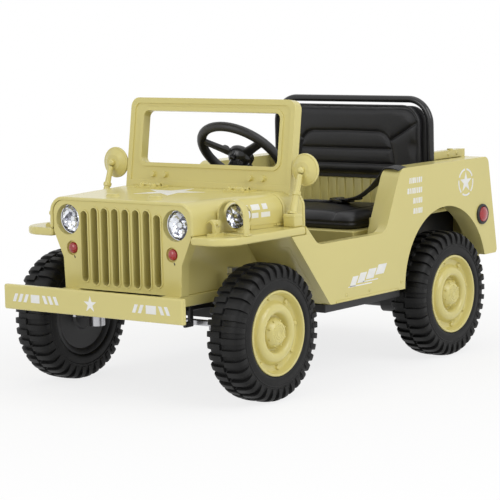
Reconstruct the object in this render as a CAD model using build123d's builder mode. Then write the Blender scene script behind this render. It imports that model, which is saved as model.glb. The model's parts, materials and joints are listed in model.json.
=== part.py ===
from build123d import *
import os
from math import cos, pi, radians, sin, tan

# Ride-on toy army 4x4 car, in millimetres.
# The nose points to -Y, the car's left is +X, and the floor under the tyres is Z = 0.
os.makedirs("parts", exist_ok=True)

# Driving dimensions
WHEELBASE = 692.0
FRONT_OVERHANG = 243.0   # bumper face to front axle
REAR_OVERHANG = 235.0    # rear axle to the tail's lower edge
BODY_HALF = 300.0        # middle of the car to the side panels
TYRE_R = 150.0           # over the lugs
TYRE_W = 90.0
LUG_COUNT = 36           # a multiple of 4, so that a lug stands under each wheel
SLOT_COUNT = 8           # slots in the grille
SCREEN_LEAN = 8.37       # windscreen, degrees back from upright
STEER_TILT = 44.3        # steering column, degrees from upright

# Walls and fits
SHEET = 8.0              # wall of inner mouldings
SILL_WALL = 24.0
PAN_T = 20.0
FENDER_T = 18.0
GRILLE_T = 26.0
BUMPER_T = 14.0
SCREEN_T = 24.0
DECK_T = 14.0            # front tray of the pan, under the rails
STUB_FIT = 0.05          # running fit of a wheel on its stub
SEAT_GAP = 0.3           # between faces that move past each other

# Heights, all from the tyres up
PAN_Z = TYRE_R + 12
FLOOR_Z = PAN_Z + PAN_T
ARCH_R = TYRE_R + 28
ARCH_Z = TYRE_R + 31
FENDER_Z = ARCH_Z + ARCH_R + 7
FENDER_LOW_Z = FENDER_Z - FENDER_T
SILL_Z = FENDER_Z - 45
QUARTER_Z = FENDER_Z + 98
BONNET_Z = FENDER_Z + 71
SCREEN_Z = BONNET_Z + 202
TAIL_LOW_Z = PAN_Z + 62
SEAT_BOX_Z = SILL_Z - 3
WELL_Z = SILL_Z + 24             # top of the rear wheel wells
CARGO_Z = WELL_Z - 6             # deck behind the seat
RAIL_Z = (PAN_Z + 49, PAN_Z + 73)
BUMPER_Z = (PAN_Z + 32, PAN_Z + 87)

# Places along the car
FRONT_Y = -(FRONT_OVERHANG + WHEELBASE + REAR_OVERHANG) / 2
FRONT_AXLE_Y = FRONT_Y + FRONT_OVERHANG
REAR_AXLE_Y = FRONT_AXLE_Y + WHEELBASE
TAIL_Y = REAR_AXLE_Y + REAR_OVERHANG
GRILLE_Y = FRONT_AXLE_Y - TYRE_R + 13
GRILLE_BACK_Y = GRILLE_Y + GRILLE_T
BONNET_Y = GRILLE_Y - 4
COWL_Y = FRONT_AXLE_Y + TYRE_R - 23
POST_Y = COWL_Y + SHEET          # rear end of the fender's flat top
DASH_Y = COWL_Y + 65
SCREEN_Y = COWL_Y + 31.7
STEP_Y = FRONT_AXLE_Y + TYRE_R + 70
DOOR_Y = POST_Y + 43
WELL_Y = REAR_AXLE_Y - ARCH_R + 4
QUARTER_Y = WELL_Y - 78
SEAT_FRONT_Y = WELL_Y - 72
BACK_Y = REAR_AXLE_Y + 54        # rear face of the ribbed back panel
TAIL_TOP_Y = TAIL_Y - 38
TUB_END_Y = TAIL_TOP_Y - SILL_WALL

# Widths
JAMB = BODY_HALF / 6             # thickness of the rear quarter and the front post
INNER_HALF = BODY_HALF - JAMB
BONNET_REAR_HALF = INNER_HALF
BONNET_FRONT_HALF = INNER_HALF * 0.82
BONNET_R = 36.0
SCREEN_HALF = INNER_HALF - 11
WHEEL_FACE_X = BODY_HALF + 24    # outer face of each wheel
WHEEL_X = WHEEL_FACE_X - TYRE_W / 2
WHEEL_IN_X = WHEEL_FACE_X - TYRE_W
KINGPIN_X = WHEEL_IN_X - 34
SEAT_HALF = WHEEL_IN_X - 29
TUB_HALF = SEAT_HALF + SHEET
BAY_OUT = KINGPIN_X - 40         # engine bay walls, outside and inside
BAY_IN = BAY_OUT - SHEET
TRAY_HALF = BAY_IN - 2
RAIL_X = (BAY_OUT - 38, BAY_OUT + 5)

SIDES = (("left", 1), ("right", -1))
AXLES = (("front", FRONT_AXLE_Y), ("rear", REAR_AXLE_Y))
ON_TOP = (Align.CENTER, Align.CENTER, Align.MIN)


def keep(piece, label):
    piece.part.label = label
    export_step(piece.part, f"parts/{label}.step")


def across(side, inner, thick):
    """Plane for a (y, z) sketch whose extrusion fills inner..inner+thick on one side of the car."""
    return Plane.YZ.offset(inner if side > 0 else -(inner + thick))


def upright(y_back):
    """Plane for an (x, z) sketch at y_back, extruded towards the nose."""
    return Plane.XZ.offset(-y_back)


def lathe_plane(x, y, z):
    """Plane for a turned piece that faces the nose: x is the radius, y runs to the tail."""
    return Plane((x, y, z), x_dir=(1, 0, 0), z_dir=(0, 0, 1))


def span_box(x, y, z, mode=Mode.ADD):
    """Box between two limits on each axis."""
    size = (abs(x[1] - x[0]), y[1] - y[0], z[1] - z[0])
    with Locations(((x[0] + x[1]) / 2, (y[0] + y[1]) / 2, (z[0] + z[1]) / 2)):
        Box(*size, mode=mode)


def on_side(side, near, far):
    """Limits along X on one side of the car."""
    return (side * near, side * far)


def panel(corners, mode=Mode.ADD):
    """Face in the running sketch from rows of (a, b, corner radius)."""
    with BuildLine() as outline:
        Polyline(*[row[:2] for row in corners], close=True)
    face = make_face(outline.edges(), mode=Mode.PRIVATE).face()
    for a, b, radius in corners:
        if radius > 0:
            corner = face.vertices().sort_by_distance((a, b, 0))[0]
            face = face.fillet_2d(radius, [corner])
    add(face, mode=mode)


def turned(rows):
    """Closed half section of a turned piece, from rows of (radius, place along the axis)."""
    with BuildLine() as outline:
        Polyline(*rows, close=True)
    make_face(outline.edges())


def hood_line(half, top, radius, low, mode=Mode.ADD):
    """Closed inverted U in (x, z): the section shared by firewall, cowl and dashboard."""
    panel(((-half, low, 0), (-half, top, radius), (half, top, radius), (half, low, 0)), mode)


def hood_block(front_half, rear_half, top, radius):
    """Solid under the bonnet's outside or inside, wider at the cowl."""
    with BuildPart() as block:
        with BuildSketch(Plane.XY.offset(FENDER_Z)):
            with BuildLine():
                Polyline(
                    (-front_half, BONNET_Y),
                    (front_half, BONNET_Y),
                    (rear_half, COWL_Y - SHEET),
                    (-rear_half, COWL_Y - SHEET),
                    close=True,
                )
            make_face()
        extrude(amount=top - FENDER_Z)
        shoulders = block.edges().group_by(Axis.Z)[-1].sort_by(Axis.X)
        fillet((shoulders[0], shoulders[-1]), radius=radius)
    return block.part


def wheel_plane(side, axle_y):
    """Plane across a wheel at its middle, facing outward."""
    return Plane((side * WHEEL_X, axle_y, TYRE_R), x_dir=(0, 1, 0), z_dir=(side, 0, 0))


def axis_plane(side, axle_y):
    """Plane through a wheel's axle: x is the radius, y runs outward along the axle."""
    return Plane((side * WHEEL_X, axle_y, TYRE_R), x_dir=(0, 1, 0), z_dir=(0, 0, -side))


# Floor pan with the raised front tray
CRANK_ROOM = 45.0        # half width of the slot for the steering crank
with BuildPart() as chassis_pan:
    tray_end = COWL_Y - 2 * SHEET
    span_box((-BODY_HALF + 15, BODY_HALF - 15), (STEP_Y, WELL_Y), (PAN_Z, FLOOR_Z))
    span_box((-TUB_HALF, TUB_HALF), (WELL_Y, TAIL_Y - 28), (PAN_Z, FLOOR_Z))
    span_box((-TRAY_HALF, TRAY_HALF), (tray_end, STEP_Y), (PAN_Z, FLOOR_Z))
    span_box((-TRAY_HALF, TRAY_HALF), (tray_end, COWL_Y - SHEET), (FLOOR_Z, RAIL_Z[0]))
    span_box((-TRAY_HALF, TRAY_HALF), (GRILLE_Y, tray_end), (RAIL_Z[0] - DECK_T, RAIL_Z[0]))
    slot_y = (FRONT_AXLE_Y - 78, FRONT_AXLE_Y + 12)
    span_box((-CRANK_ROOM, CRANK_ROOM), slot_y, (PAN_Z, RAIL_Z[0]), mode=Mode.SUBTRACT)
keep(chassis_pan, "chassis_pan")

# Side panels: door opening, rear quarter and wheel arch
ARCH_SLOPE = 0.83        # run over rise of the panel's edge behind the front wheel
ARCH_TOP_Y = STEP_Y - (FENDER_LOW_Z - FLOOR_Z) * ARCH_SLOPE
QUARTER_TOP_Y = QUARTER_Y + 66
POST_FACE = (
    (ARCH_TOP_Y, FENDER_LOW_Z, 0),
    (POST_Y, FENDER_LOW_Z, 0),
    (POST_Y, FENDER_Z, 0),
    (DOOR_Y, SILL_Z, 0),
    (ARCH_TOP_Y + 22, SILL_Z, 0),
)
TAIL_FACE = (
    (QUARTER_Y, SILL_Z, 0),
    (QUARTER_TOP_Y, QUARTER_Z, 38),
    (TAIL_TOP_Y, QUARTER_Z, 18),
    (TAIL_Y, TAIL_LOW_Z, 12),
    (WELL_Y, FLOOR_Z, 0),
    (QUARTER_Y, FLOOR_Z, 0),
)
SIDE_FACE = (
    (STEP_Y, FLOOR_Z, 10),
    (ARCH_TOP_Y, FENDER_LOW_Z, 0),
    (POST_Y, FENDER_LOW_Z, 0),
    (POST_Y, FENDER_Z, 0),
    (DOOR_Y, SILL_Z, 36),
    (QUARTER_Y, SILL_Z, 36),
    (QUARTER_TOP_Y, QUARTER_Z, 38),
    (TAIL_TOP_Y, QUARTER_Z, 18),
    (TAIL_Y, TAIL_LOW_Z, 12),
    (WELL_Y, FLOOR_Z, 0),
)
for name, side in SIDES:
    with BuildPart() as side_panel:
        with BuildSketch(across(side, BODY_HALF - SILL_WALL, SILL_WALL)):
            panel(SIDE_FACE)
        extrude(amount=SILL_WALL)
        with BuildSketch(across(side, INNER_HALF, JAMB)):
            panel(TAIL_FACE)
            panel(POST_FACE)
        extrude(amount=JAMB)
        with BuildSketch(across(side, INNER_HALF, JAMB)):
            with Locations((REAR_AXLE_Y + 4, ARCH_Z)):
                Circle(ARCH_R)
            with Locations((TAIL_Y, TAIL_LOW_Z - ARCH_R / 2)):
                Rectangle(2 * REAR_OVERHANG, ARCH_R)
        extrude(amount=JAMB, mode=Mode.SUBTRACT)
    keep(side_panel, f"side_panel_{name}")

# Rear panel between the quarters
with BuildPart() as rear_panel:
    with BuildSketch(Plane.YZ.offset(-INNER_HALF)):
        panel((
            (TUB_END_Y, QUARTER_Z, 0),
            (TAIL_TOP_Y, QUARTER_Z, 8),
            (TAIL_Y, TAIL_LOW_Z, 12),
            (TAIL_Y - 6, FLOOR_Z, 0),
            (TAIL_Y - 28, FLOOR_Z, 0),
            (TAIL_Y - SILL_WALL, TAIL_LOW_Z, 0),
        ))
    extrude(amount=2 * INNER_HALF)
keep(rear_panel, "rear_panel")

# Inner tub: wheel wells and the deck behind the seat
with BuildPart() as inner_tub:
    for name, side in SIDES:
        lid = on_side(side, SEAT_HALF, INNER_HALF)
        span_box(on_side(side, SEAT_HALF, TUB_HALF), (WELL_Y, TUB_END_Y), (FLOOR_Z, WELL_Z))
        span_box(lid, (WELL_Y - SHEET, TUB_END_Y), (WELL_Z - SHEET, WELL_Z))
        span_box(lid, (WELL_Y - SHEET, WELL_Y), (FLOOR_Z, WELL_Z))
    span_box((-SEAT_HALF, SEAT_HALF), (BACK_Y, TUB_END_Y), (CARGO_Z - SHEET, CARGO_Z))
keep(inner_tub, "inner_tub")

# Seat box, open below
with BuildPart() as seat_box:
    inside = (-SEAT_HALF + SHEET, SEAT_HALF - SHEET)
    inside_y = (SEAT_FRONT_Y + SHEET, BACK_Y - SHEET)
    span_box((-SEAT_HALF, SEAT_HALF), (SEAT_FRONT_Y, BACK_Y), (FLOOR_Z, SEAT_BOX_Z))
    span_box(inside, inside_y, (FLOOR_Z, SEAT_BOX_Z - SHEET), Mode.SUBTRACT)
keep(seat_box, "seat_box")

# Ribbed back panel
BACK_T = 12.0
RIB_COUNT = 15
RIB_PITCH = 2 * SEAT_HALF / (RIB_COUNT + 1)
RIB_DEPTH = 4.0
PAD_LOW_Z = SEAT_BOX_Z + 96
with BuildPart() as back_panel:
    rib_mid = (0, BACK_Y - BACK_T - RIB_DEPTH / 2, (SEAT_BOX_Z + PAD_LOW_Z) / 2)
    span_box((-SEAT_HALF, SEAT_HALF), (BACK_Y - BACK_T, BACK_Y), (SEAT_BOX_Z, PAD_LOW_Z))
    with Locations(rib_mid):
        with GridLocations(RIB_PITCH, 1, RIB_COUNT, 1):
            Box(RIB_PITCH / 2, RIB_DEPTH, PAD_LOW_Z - SEAT_BOX_Z)
keep(back_panel, "back_panel")

# Battery under the seat
BATTERY = (150.0, 100.0, 94.0)
with BuildPart() as battery:
    with Locations((0, (SEAT_FRONT_Y + BACK_Y) / 2, FLOOR_Z)):
        Box(*BATTERY, align=ON_TOP)
keep(battery, "battery")

# Seat cushion
CUSHION_T = 40.0
CUSHION_CORNER = 30.0
with BuildPart() as seat_cushion:
    cushion_y = (SEAT_FRONT_Y + 12, BACK_Y - BACK_T - RIB_DEPTH - 1)
    span_box((-SEAT_HALF + SHEET, SEAT_HALF - SHEET), cushion_y, (SEAT_BOX_Z, SEAT_BOX_Z + CUSHION_T))
    fillet(seat_cushion.edges().filter_by(Axis.Z), radius=CUSHION_CORNER)
keep(seat_cushion, "seat_cushion")

# Padded back inside the hoop
HOOP_X = SEAT_HALF + 25
HOOP_Y = BACK_Y - BACK_T / 2
HOOP_Z = QUARTER_Z + 146         # middle of the top tube
HOOP_TUBE_R = 8.5
HOOP_BEND = 60.0
PAD_T = 36.0
with BuildPart() as seat_back:
    pad_half = HOOP_X - HOOP_TUBE_R - SEAT_GAP
    pad_top = HOOP_Z - HOOP_TUBE_R - SEAT_GAP
    pad_r = HOOP_BEND - HOOP_TUBE_R
    with BuildSketch(upright(BACK_Y)):
        hood_line(pad_half, pad_top, pad_r, PAD_LOW_Z)
    extrude(amount=PAD_T)
keep(seat_back, "seat_back")

# Seat hoop, a bent tube standing on the wheel wells
with BuildPart() as seat_hoop:
    with BuildLine() as hoop_path:
        FilletPolyline(
            (-HOOP_X, HOOP_Y, WELL_Z),
            (-HOOP_X, HOOP_Y, HOOP_Z),
            (HOOP_X, HOOP_Y, HOOP_Z),
            (HOOP_X, HOOP_Y, WELL_Z),
            radius=HOOP_BEND,
        )
    with BuildSketch(Plane.XY.offset(WELL_Z)):
        with Locations((-HOOP_X, HOOP_Y)):
            Circle(HOOP_TUBE_R)
    sweep(path=hoop_path.wires()[0])
keep(seat_hoop, "seat_hoop")

# Braces from the hoop to the rear panel, each with a screw head
BRACE_W = 22.0
BRACE_H = 18.0
with BuildPart() as hoop_braces:
    for name, side in SIDES:
        brace_out = HOOP_X + 4
        brace_y = (HOOP_Y + HOOP_TUBE_R + SEAT_GAP, TAIL_TOP_Y - 2)
        span_box(on_side(side, brace_out - BRACE_W, brace_out), brace_y, (QUARTER_Z, QUARTER_Z + BRACE_H))
        with Locations((side * (brace_out - BRACE_W / 2), TAIL_TOP_Y - 52, QUARTER_Z + BRACE_H)):
            Cylinder(7, 3, align=ON_TOP)
keep(hoop_braces, "hoop_braces")

# Fenders
FENDER_CORNER = BODY_HALF * 0.183
FENDER_FRONT_Y = GRILLE_Y - 6
for name, side in SIDES:
    with BuildPart() as fender:
        with BuildSketch(Plane.XY.offset(FENDER_LOW_Z)):
            panel((
                (side * BODY_HALF, FENDER_FRONT_Y, FENDER_CORNER),
                (side * BODY_HALF, POST_Y, 0),
                (side * BAY_OUT, POST_Y, 0),
                (side * BAY_OUT, GRILLE_BACK_Y, 0),
                (side * (BONNET_FRONT_HALF - 6), GRILLE_BACK_Y, 0),
                (side * (BONNET_FRONT_HALF - 6), FENDER_FRONT_Y, 0),
            ))
        extrude(amount=FENDER_T)
    keep(fender, f"fender_{name}")

# Engine bay side walls, standing on the rails
with BuildPart() as engine_bay:
    for name, side in SIDES:
        bay_wall = on_side(side, BAY_IN, BAY_OUT)
        span_box(bay_wall, (GRILLE_BACK_Y, COWL_Y - SHEET), (RAIL_Z[1], FENDER_Z))
keep(engine_bay, "engine_bay")

# Bumper and frame rails
BUMPER_HALF = BODY_HALF - 44.5
with BuildPart() as bumper:
    span_box((-BUMPER_HALF, BUMPER_HALF), (FRONT_Y, FRONT_Y + BUMPER_T), BUMPER_Z)
    chamfer(bumper.faces().sort_by(Axis.Y)[0].edges(), length=3)
keep(bumper, "bumper")

with BuildPart() as frame_rails:
    for name, side in SIDES:
        span_box(on_side(side, *RAIL_X), (FRONT_Y + BUMPER_T, COWL_Y - SHEET), RAIL_Z)
keep(frame_rails, "frame_rails")

# Tow hooks under the rails
HOOK_DROP = 46.0
HOOK_T = 12.0
HOOK_Y = (GRILLE_Y + 20, GRILLE_Y + 48)
with BuildPart() as tow_hooks:
    for name, side in SIDES:
        hook_x = on_side(side, BAY_IN, BAY_OUT)
        hook_z = RAIL_Z[0] - HOOK_DROP
        span_box(hook_x, (HOOK_Y[1] - HOOK_T, HOOK_Y[1]), (hook_z, RAIL_Z[0]))
        span_box(hook_x, HOOK_Y, (hook_z, hook_z + HOOK_T))
keep(tow_hooks, "tow_hooks")

# Grille panel with rimmed slots, lamp holes and marker recesses
GRILLE_HALF = BONNET_FRONT_HALF - SHEET
GRILLE_TOP_Z = BONNET_Z - SHEET
GRILLE_LOW_HALF = BAY_OUT + 7
LAMP_R = GRILLE_HALF * 0.1726
LAMP_X = GRILLE_HALF * 0.784
LAMP_Z = BONNET_Z - 50
MARKER_X = LAMP_X - 11
MARKER_Z = LAMP_Z - 63
MARKER_R = 16.0
MARKER_DEPTH = 10.0
SLOT_SHARE = 0.633       # slot width over slot pitch
SLOT_PITCH = 2 * (LAMP_X - LAMP_R - 6) / (SLOT_COUNT - 1 + SLOT_SHARE)
SLOT_W = SLOT_PITCH * SLOT_SHARE
SLOT_RIM = 3.0
SLOT_RIM_H = 2.5
SLOT_Z = (RAIL_Z[1] + 11, BONNET_Z - 21)
OUTER_SLOT_Z = (SLOT_Z[0] + 6, SLOT_Z[1] - 8)


def slot_row(grow, mode):
    """Upright slots of the grille, each grown by a margin; the outermost are shorter."""
    for index in range(SLOT_COUNT):
        outermost = index in (0, SLOT_COUNT - 1)
        low, high = OUTER_SLOT_Z if outermost else SLOT_Z
        with Locations(((index - (SLOT_COUNT - 1) / 2) * SLOT_PITCH, (low + high) / 2)):
            SlotCenterToCenter(high - low - SLOT_W, SLOT_W + 2 * grow, rotation=90, mode=mode)


with BuildPart() as grille_panel:
    with BuildSketch(upright(GRILLE_BACK_Y)):
        panel((
            (-GRILLE_LOW_HALF, RAIL_Z[1], 0),
            (-GRILLE_LOW_HALF - 3, FENDER_Z - 64, 0),
            (-GRILLE_HALF, FENDER_Z - 6, 0),
            (-GRILLE_HALF, GRILLE_TOP_Z, BONNET_R - 6),
            (GRILLE_HALF, GRILLE_TOP_Z, BONNET_R - 6),
            (GRILLE_HALF, FENDER_Z - 6, 0),
            (GRILLE_LOW_HALF + 3, FENDER_Z - 64, 0),
            (GRILLE_LOW_HALF, RAIL_Z[1], 0),
        ))
        slot_row(0, Mode.SUBTRACT)
        with Locations((-LAMP_X, LAMP_Z), (LAMP_X, LAMP_Z)):
            Circle(LAMP_R, mode=Mode.SUBTRACT)
    extrude(amount=GRILLE_T)
    with BuildSketch(upright(GRILLE_Y)):
        slot_row(SLOT_RIM, Mode.ADD)
        slot_row(0, Mode.SUBTRACT)
    extrude(amount=SLOT_RIM_H)
    with BuildSketch(upright(GRILLE_Y + MARKER_DEPTH)):
        with Locations((-MARKER_X, MARKER_Z), (MARKER_X, MARKER_Z)):
            Circle(MARKER_R)
    extrude(amount=MARKER_DEPTH, mode=Mode.SUBTRACT)
keep(grille_panel, "grille_panel")

# Dark screen behind the slots
with BuildPart() as grille_screen:
    span_box((1 - BAY_IN, BAY_IN - 1), (GRILLE_BACK_Y, GRILLE_BACK_Y + 5), (RAIL_Z[1], GRILLE_TOP_Z))
keep(grille_screen, "grille_screen")

# Headlamps: bowls, then lenses
LENS_Y = -18.0           # lens seat, ahead of the panel's back
with BuildPart() as headlamp_bowls:
    for name, side in SIDES:
        with BuildSketch(lathe_plane(side * LAMP_X, GRILLE_BACK_Y, LAMP_Z)):
            turned((
                (0, -3), (0, 0), (LAMP_R, 0), (LAMP_R, LENS_Y), (LAMP_R - 2, LENS_Y), (LAMP_R * 0.59, -6),
            ))
        revolve(axis=Axis((side * LAMP_X, GRILLE_BACK_Y, LAMP_Z), (0, 1, 0)))
keep(headlamp_bowls, "headlamp_bowls")

with BuildPart() as headlamp_lenses:
    for name, side in SIDES:
        with BuildSketch(lathe_plane(side * LAMP_X, GRILLE_BACK_Y + LENS_Y, LAMP_Z)):
            turned(((0, 0), (LAMP_R - 1, 0), (LAMP_R - 1, -2), (LAMP_R * 0.59, -5), (0, -6)))
        revolve(axis=Axis((side * LAMP_X, GRILLE_BACK_Y, LAMP_Z), (0, 1, 0)))
keep(headlamp_lenses, "headlamp_lenses")

with BuildPart() as marker_lamps:
    for name, side in SIDES:
        with BuildSketch(lathe_plane(side * MARKER_X, GRILLE_Y + MARKER_DEPTH, MARKER_Z)):
            turned(((0, 0), (MARKER_R - 3, 0), (MARKER_R - 3, -8), (MARKER_R - 7, -12), (0, -13.5)))
        revolve(axis=Axis((side * MARKER_X, GRILLE_Y, MARKER_Z), (0, 1, 0)))
keep(marker_lamps, "marker_lamps")

# Bonnet: a shell that widens from grille to cowl, with a lifting handle near the front
HANDLE = (30.0, 14.0, 7.0)
HANDLE_X = BONNET_FRONT_HALF * 0.3
hood_outside = hood_block(BONNET_FRONT_HALF, BONNET_REAR_HALF, BONNET_Z, BONNET_R)
hood_inside = hood_block(GRILLE_HALF, BONNET_REAR_HALF - SHEET, GRILLE_TOP_Z, BONNET_R - SHEET)
with BuildPart() as bonnet:
    add(hood_outside)
    add(hood_inside, mode=Mode.SUBTRACT)
    with Locations((HANDLE_X, BONNET_Y + 52, BONNET_Z), (-HANDLE_X, BONNET_Y + 52, BONNET_Z)):
        Box(*HANDLE, align=ON_TOP)
keep(bonnet, "bonnet")

# Steering axis: the shaft's foot stands just behind the front axle, over the rails
FOOT_Y = FRONT_AXLE_Y + 24.37
FOOT_Z = RAIL_Z[0] + 14.74
STEER_Z = BONNET_Z + 65          # middle of the steering wheel
STEER_Y = FOOT_Y + (STEER_Z - FOOT_Z) * tan(radians(STEER_TILT))
SHAFT_END = (STEER_Z - FOOT_Z) / cos(radians(STEER_TILT))
STEER_AXIS = Vector(0, sin(radians(STEER_TILT)), cos(radians(STEER_TILT)))
STEER_UP = Vector(0, -cos(radians(STEER_TILT)), sin(radians(STEER_TILT)))
STEER_HUB = Vector(0, STEER_Y, STEER_Z)
SHAFT_R = 8.0
COLUMN_R = 14.0
COLUMN_FIT = 0.2


def down_column(distance):
    """Plane across the column, that far down from the steering wheel and facing down."""
    return Plane(STEER_HUB - STEER_AXIS * distance, x_dir=(1, 0, 0), z_dir=-STEER_AXIS)


def column_hole():
    """Hole along the steering column."""
    with BuildSketch(down_column(0)) as bore:
        Circle(COLUMN_R + COLUMN_FIT)
    extrude(bore.sketch, amount=2 * SHAFT_END, mode=Mode.SUBTRACT)


# Firewall, with the arch liners and footwell walls beside it
with BuildPart() as firewall:
    with BuildSketch(upright(COWL_Y)):
        hood_line(BONNET_REAR_HALF, BONNET_Z, BONNET_R, FENDER_Z)
        with Locations((0, (FLOOR_Z + FENDER_Z) / 2)):
            Rectangle(2 * BAY_OUT, FENDER_Z - FLOOR_Z)
    extrude(amount=SHEET)
    column_hole()
keep(firewall, "firewall")

LINER_W = BODY_HALF - SILL_WALL - BAY_OUT
with BuildPart() as arch_liners:
    wall_top = FLOOR_Z + (STEP_Y - COWL_Y) / ARCH_SLOPE
    for name, side in SIDES:
        with BuildSketch(across(side, BAY_OUT, LINER_W)):
            panel((
                (STEP_Y, FLOOR_Z, 0),
                (ARCH_TOP_Y, FENDER_LOW_Z, 0),
                (ARCH_TOP_Y + SHEET, FENDER_LOW_Z, 0),
                (ARCH_TOP_Y + SHEET + 20, SILL_Z, 0),
                (STEP_Y + SHEET, FLOOR_Z, 0),
            ))
        extrude(amount=LINER_W)
        with BuildSketch(across(side, BAY_IN, SHEET)):
            panel(((STEP_Y, FLOOR_Z, 0), (COWL_Y, FLOOR_Z, 0), (COWL_Y, wall_top, 0)))
        extrude(amount=SHEET)
        with BuildSketch(across(side, INNER_HALF, JAMB)):
            panel(POST_FACE)
        extrude(amount=JAMB, mode=Mode.SUBTRACT)
keep(arch_liners, "arch_liners")

# Cowl under the windscreen, and the dashboard
COWL_T = 12.0
with BuildPart() as cowl:
    with BuildSketch(upright(DASH_Y)):
        hood_line(BONNET_REAR_HALF, BONNET_Z, BONNET_R, SILL_Z)
        hood_line(BONNET_REAR_HALF - COWL_T, BONNET_Z - COWL_T, BONNET_R - COWL_T, SILL_Z, Mode.SUBTRACT)
    extrude(amount=DASH_Y - COWL_Y)
    span_box((-BODY_HALF, BODY_HALF), (COWL_Y, POST_Y), (SILL_Z, FENDER_Z), mode=Mode.SUBTRACT)
keep(cowl, "cowl")

with BuildPart() as dashboard:
    with BuildSketch(upright(DASH_Y + SHEET)):
        hood_line(BONNET_REAR_HALF, BONNET_Z, BONNET_R, SILL_Z + 26)
    extrude(amount=SHEET)
    column_hole()
keep(dashboard, "dashboard")

# Windscreen frame, open, leaning back on the cowl, with a raised edge and a bead round the opening
OPENING_W = 2 * SCREEN_HALF - 81
OPENING_H = 120.0
OPENING_LOW = 54.0       # along the frame, from the cowl
SCREEN_CORNER = 22.0
SCREEN_EDGE = 13.0
SCREEN_BEAD = 9.0
SCREEN_SINK = 3.0
SCREEN_KNOBS = (0.52, 0.67)      # shares of the frame's half width
LEAN = radians(SCREEN_LEAN)
SCREEN_LOW = BONNET_R / cos(LEAN)        # the frame starts this far under the cowl's top
SCREEN_H = (SCREEN_Z - BONNET_Z) / cos(LEAN)
SCREEN_UP = Vector(0, sin(LEAN), cos(LEAN))
SCREEN_OUT = Vector(0, -cos(LEAN), sin(LEAN))
SCREEN_FOOT = Vector(0, SCREEN_Y, BONNET_Z)
with BuildPart() as windscreen_frame:
    front_face = Plane(SCREEN_FOOT, x_dir=(1, 0, 0), z_dir=SCREEN_OUT)
    back_face = front_face.offset(-SCREEN_T)
    opening_mid = (0, OPENING_LOW + OPENING_H / 2)
    with BuildSketch(back_face):
        hood_line(SCREEN_HALF, SCREEN_H, SCREEN_CORNER, -SCREEN_LOW)
        with Locations(opening_mid):
            RectangleRounded(OPENING_W, OPENING_H, 14, mode=Mode.SUBTRACT)
    extrude(amount=SCREEN_T)
    for sunk_from in (front_face.offset(-SCREEN_SINK), back_face):
        with BuildSketch(sunk_from):
            inner_half = SCREEN_HALF - SCREEN_EDGE
            hood_line(inner_half, SCREEN_H - SCREEN_EDGE, SCREEN_CORNER - 8, SCREEN_EDGE)
            with Locations(opening_mid):
                bead = 2 * SCREEN_BEAD
                RectangleRounded(OPENING_W + bead, OPENING_H + bead, 14 + SCREEN_BEAD, mode=Mode.SUBTRACT)
        extrude(amount=SCREEN_SINK, mode=Mode.SUBTRACT)
    with BuildSketch(front_face.offset(-SCREEN_SINK)):
        for share in SCREEN_KNOBS:
            with Locations((SCREEN_HALF * share, OPENING_LOW / 2), (-SCREEN_HALF * share, OPENING_LOW / 2)):
                Circle(7)
    extrude(amount=SCREEN_SINK + 5)
    with BuildSketch(upright(DASH_Y)):
        hood_line(BONNET_REAR_HALF, BONNET_Z, BONNET_R, SILL_Z)
    extrude(amount=DASH_Y - COWL_Y, mode=Mode.SUBTRACT)
keep(windscreen_frame, "windscreen_frame")

# Bonnet hinges: a plate with a pin between two posts
HINGE_X = BONNET_REAR_HALF * 0.512
HINGE_W = 60.0
HINGE_PIN_R = 5.0
with BuildPart() as bonnet_hinges:
    for name, side in SIDES:
        hinge_x = (side * HINGE_X - HINGE_W / 2, side * HINGE_X + HINGE_W / 2)
        pin = Location((side * HINGE_X, COWL_Y - SHEET, BONNET_Z + 5), (0, 90, 0))
        span_box(hinge_x, (COWL_Y - 28, COWL_Y + 18), (BONNET_Z, BONNET_Z + 4))
        with Locations(pin):
            Cylinder(HINGE_PIN_R, HINGE_W - 8)
        with Locations((side * HINGE_X - 18, COWL_Y - 21, BONNET_Z), (side * HINGE_X + 18, COWL_Y - 21, BONNET_Z)):
            Cylinder(6, 9, align=ON_TOP)
keep(bonnet_hinges, "bonnet_hinges")

# Bonnet latches on the fenders: a plate and a T-shaped catch
LATCH_X = BODY_HALF * 0.7767
LATCH_Y = FRONT_AXLE_Y - 96
LATCH_H = 28.0
with BuildPart() as bonnet_latches:
    for name, side in SIDES:
        with Locations((side * LATCH_X, LATCH_Y, FENDER_Z)):
            Box(22, 34, 5, align=ON_TOP)
            Box(10, 12, LATCH_H, align=ON_TOP)
        with Locations(Location((side * LATCH_X, LATCH_Y, FENDER_Z + LATCH_H), (0, 90, 0))):
            Cylinder(6, 20)
keep(bonnet_latches, "bonnet_latches")

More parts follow.
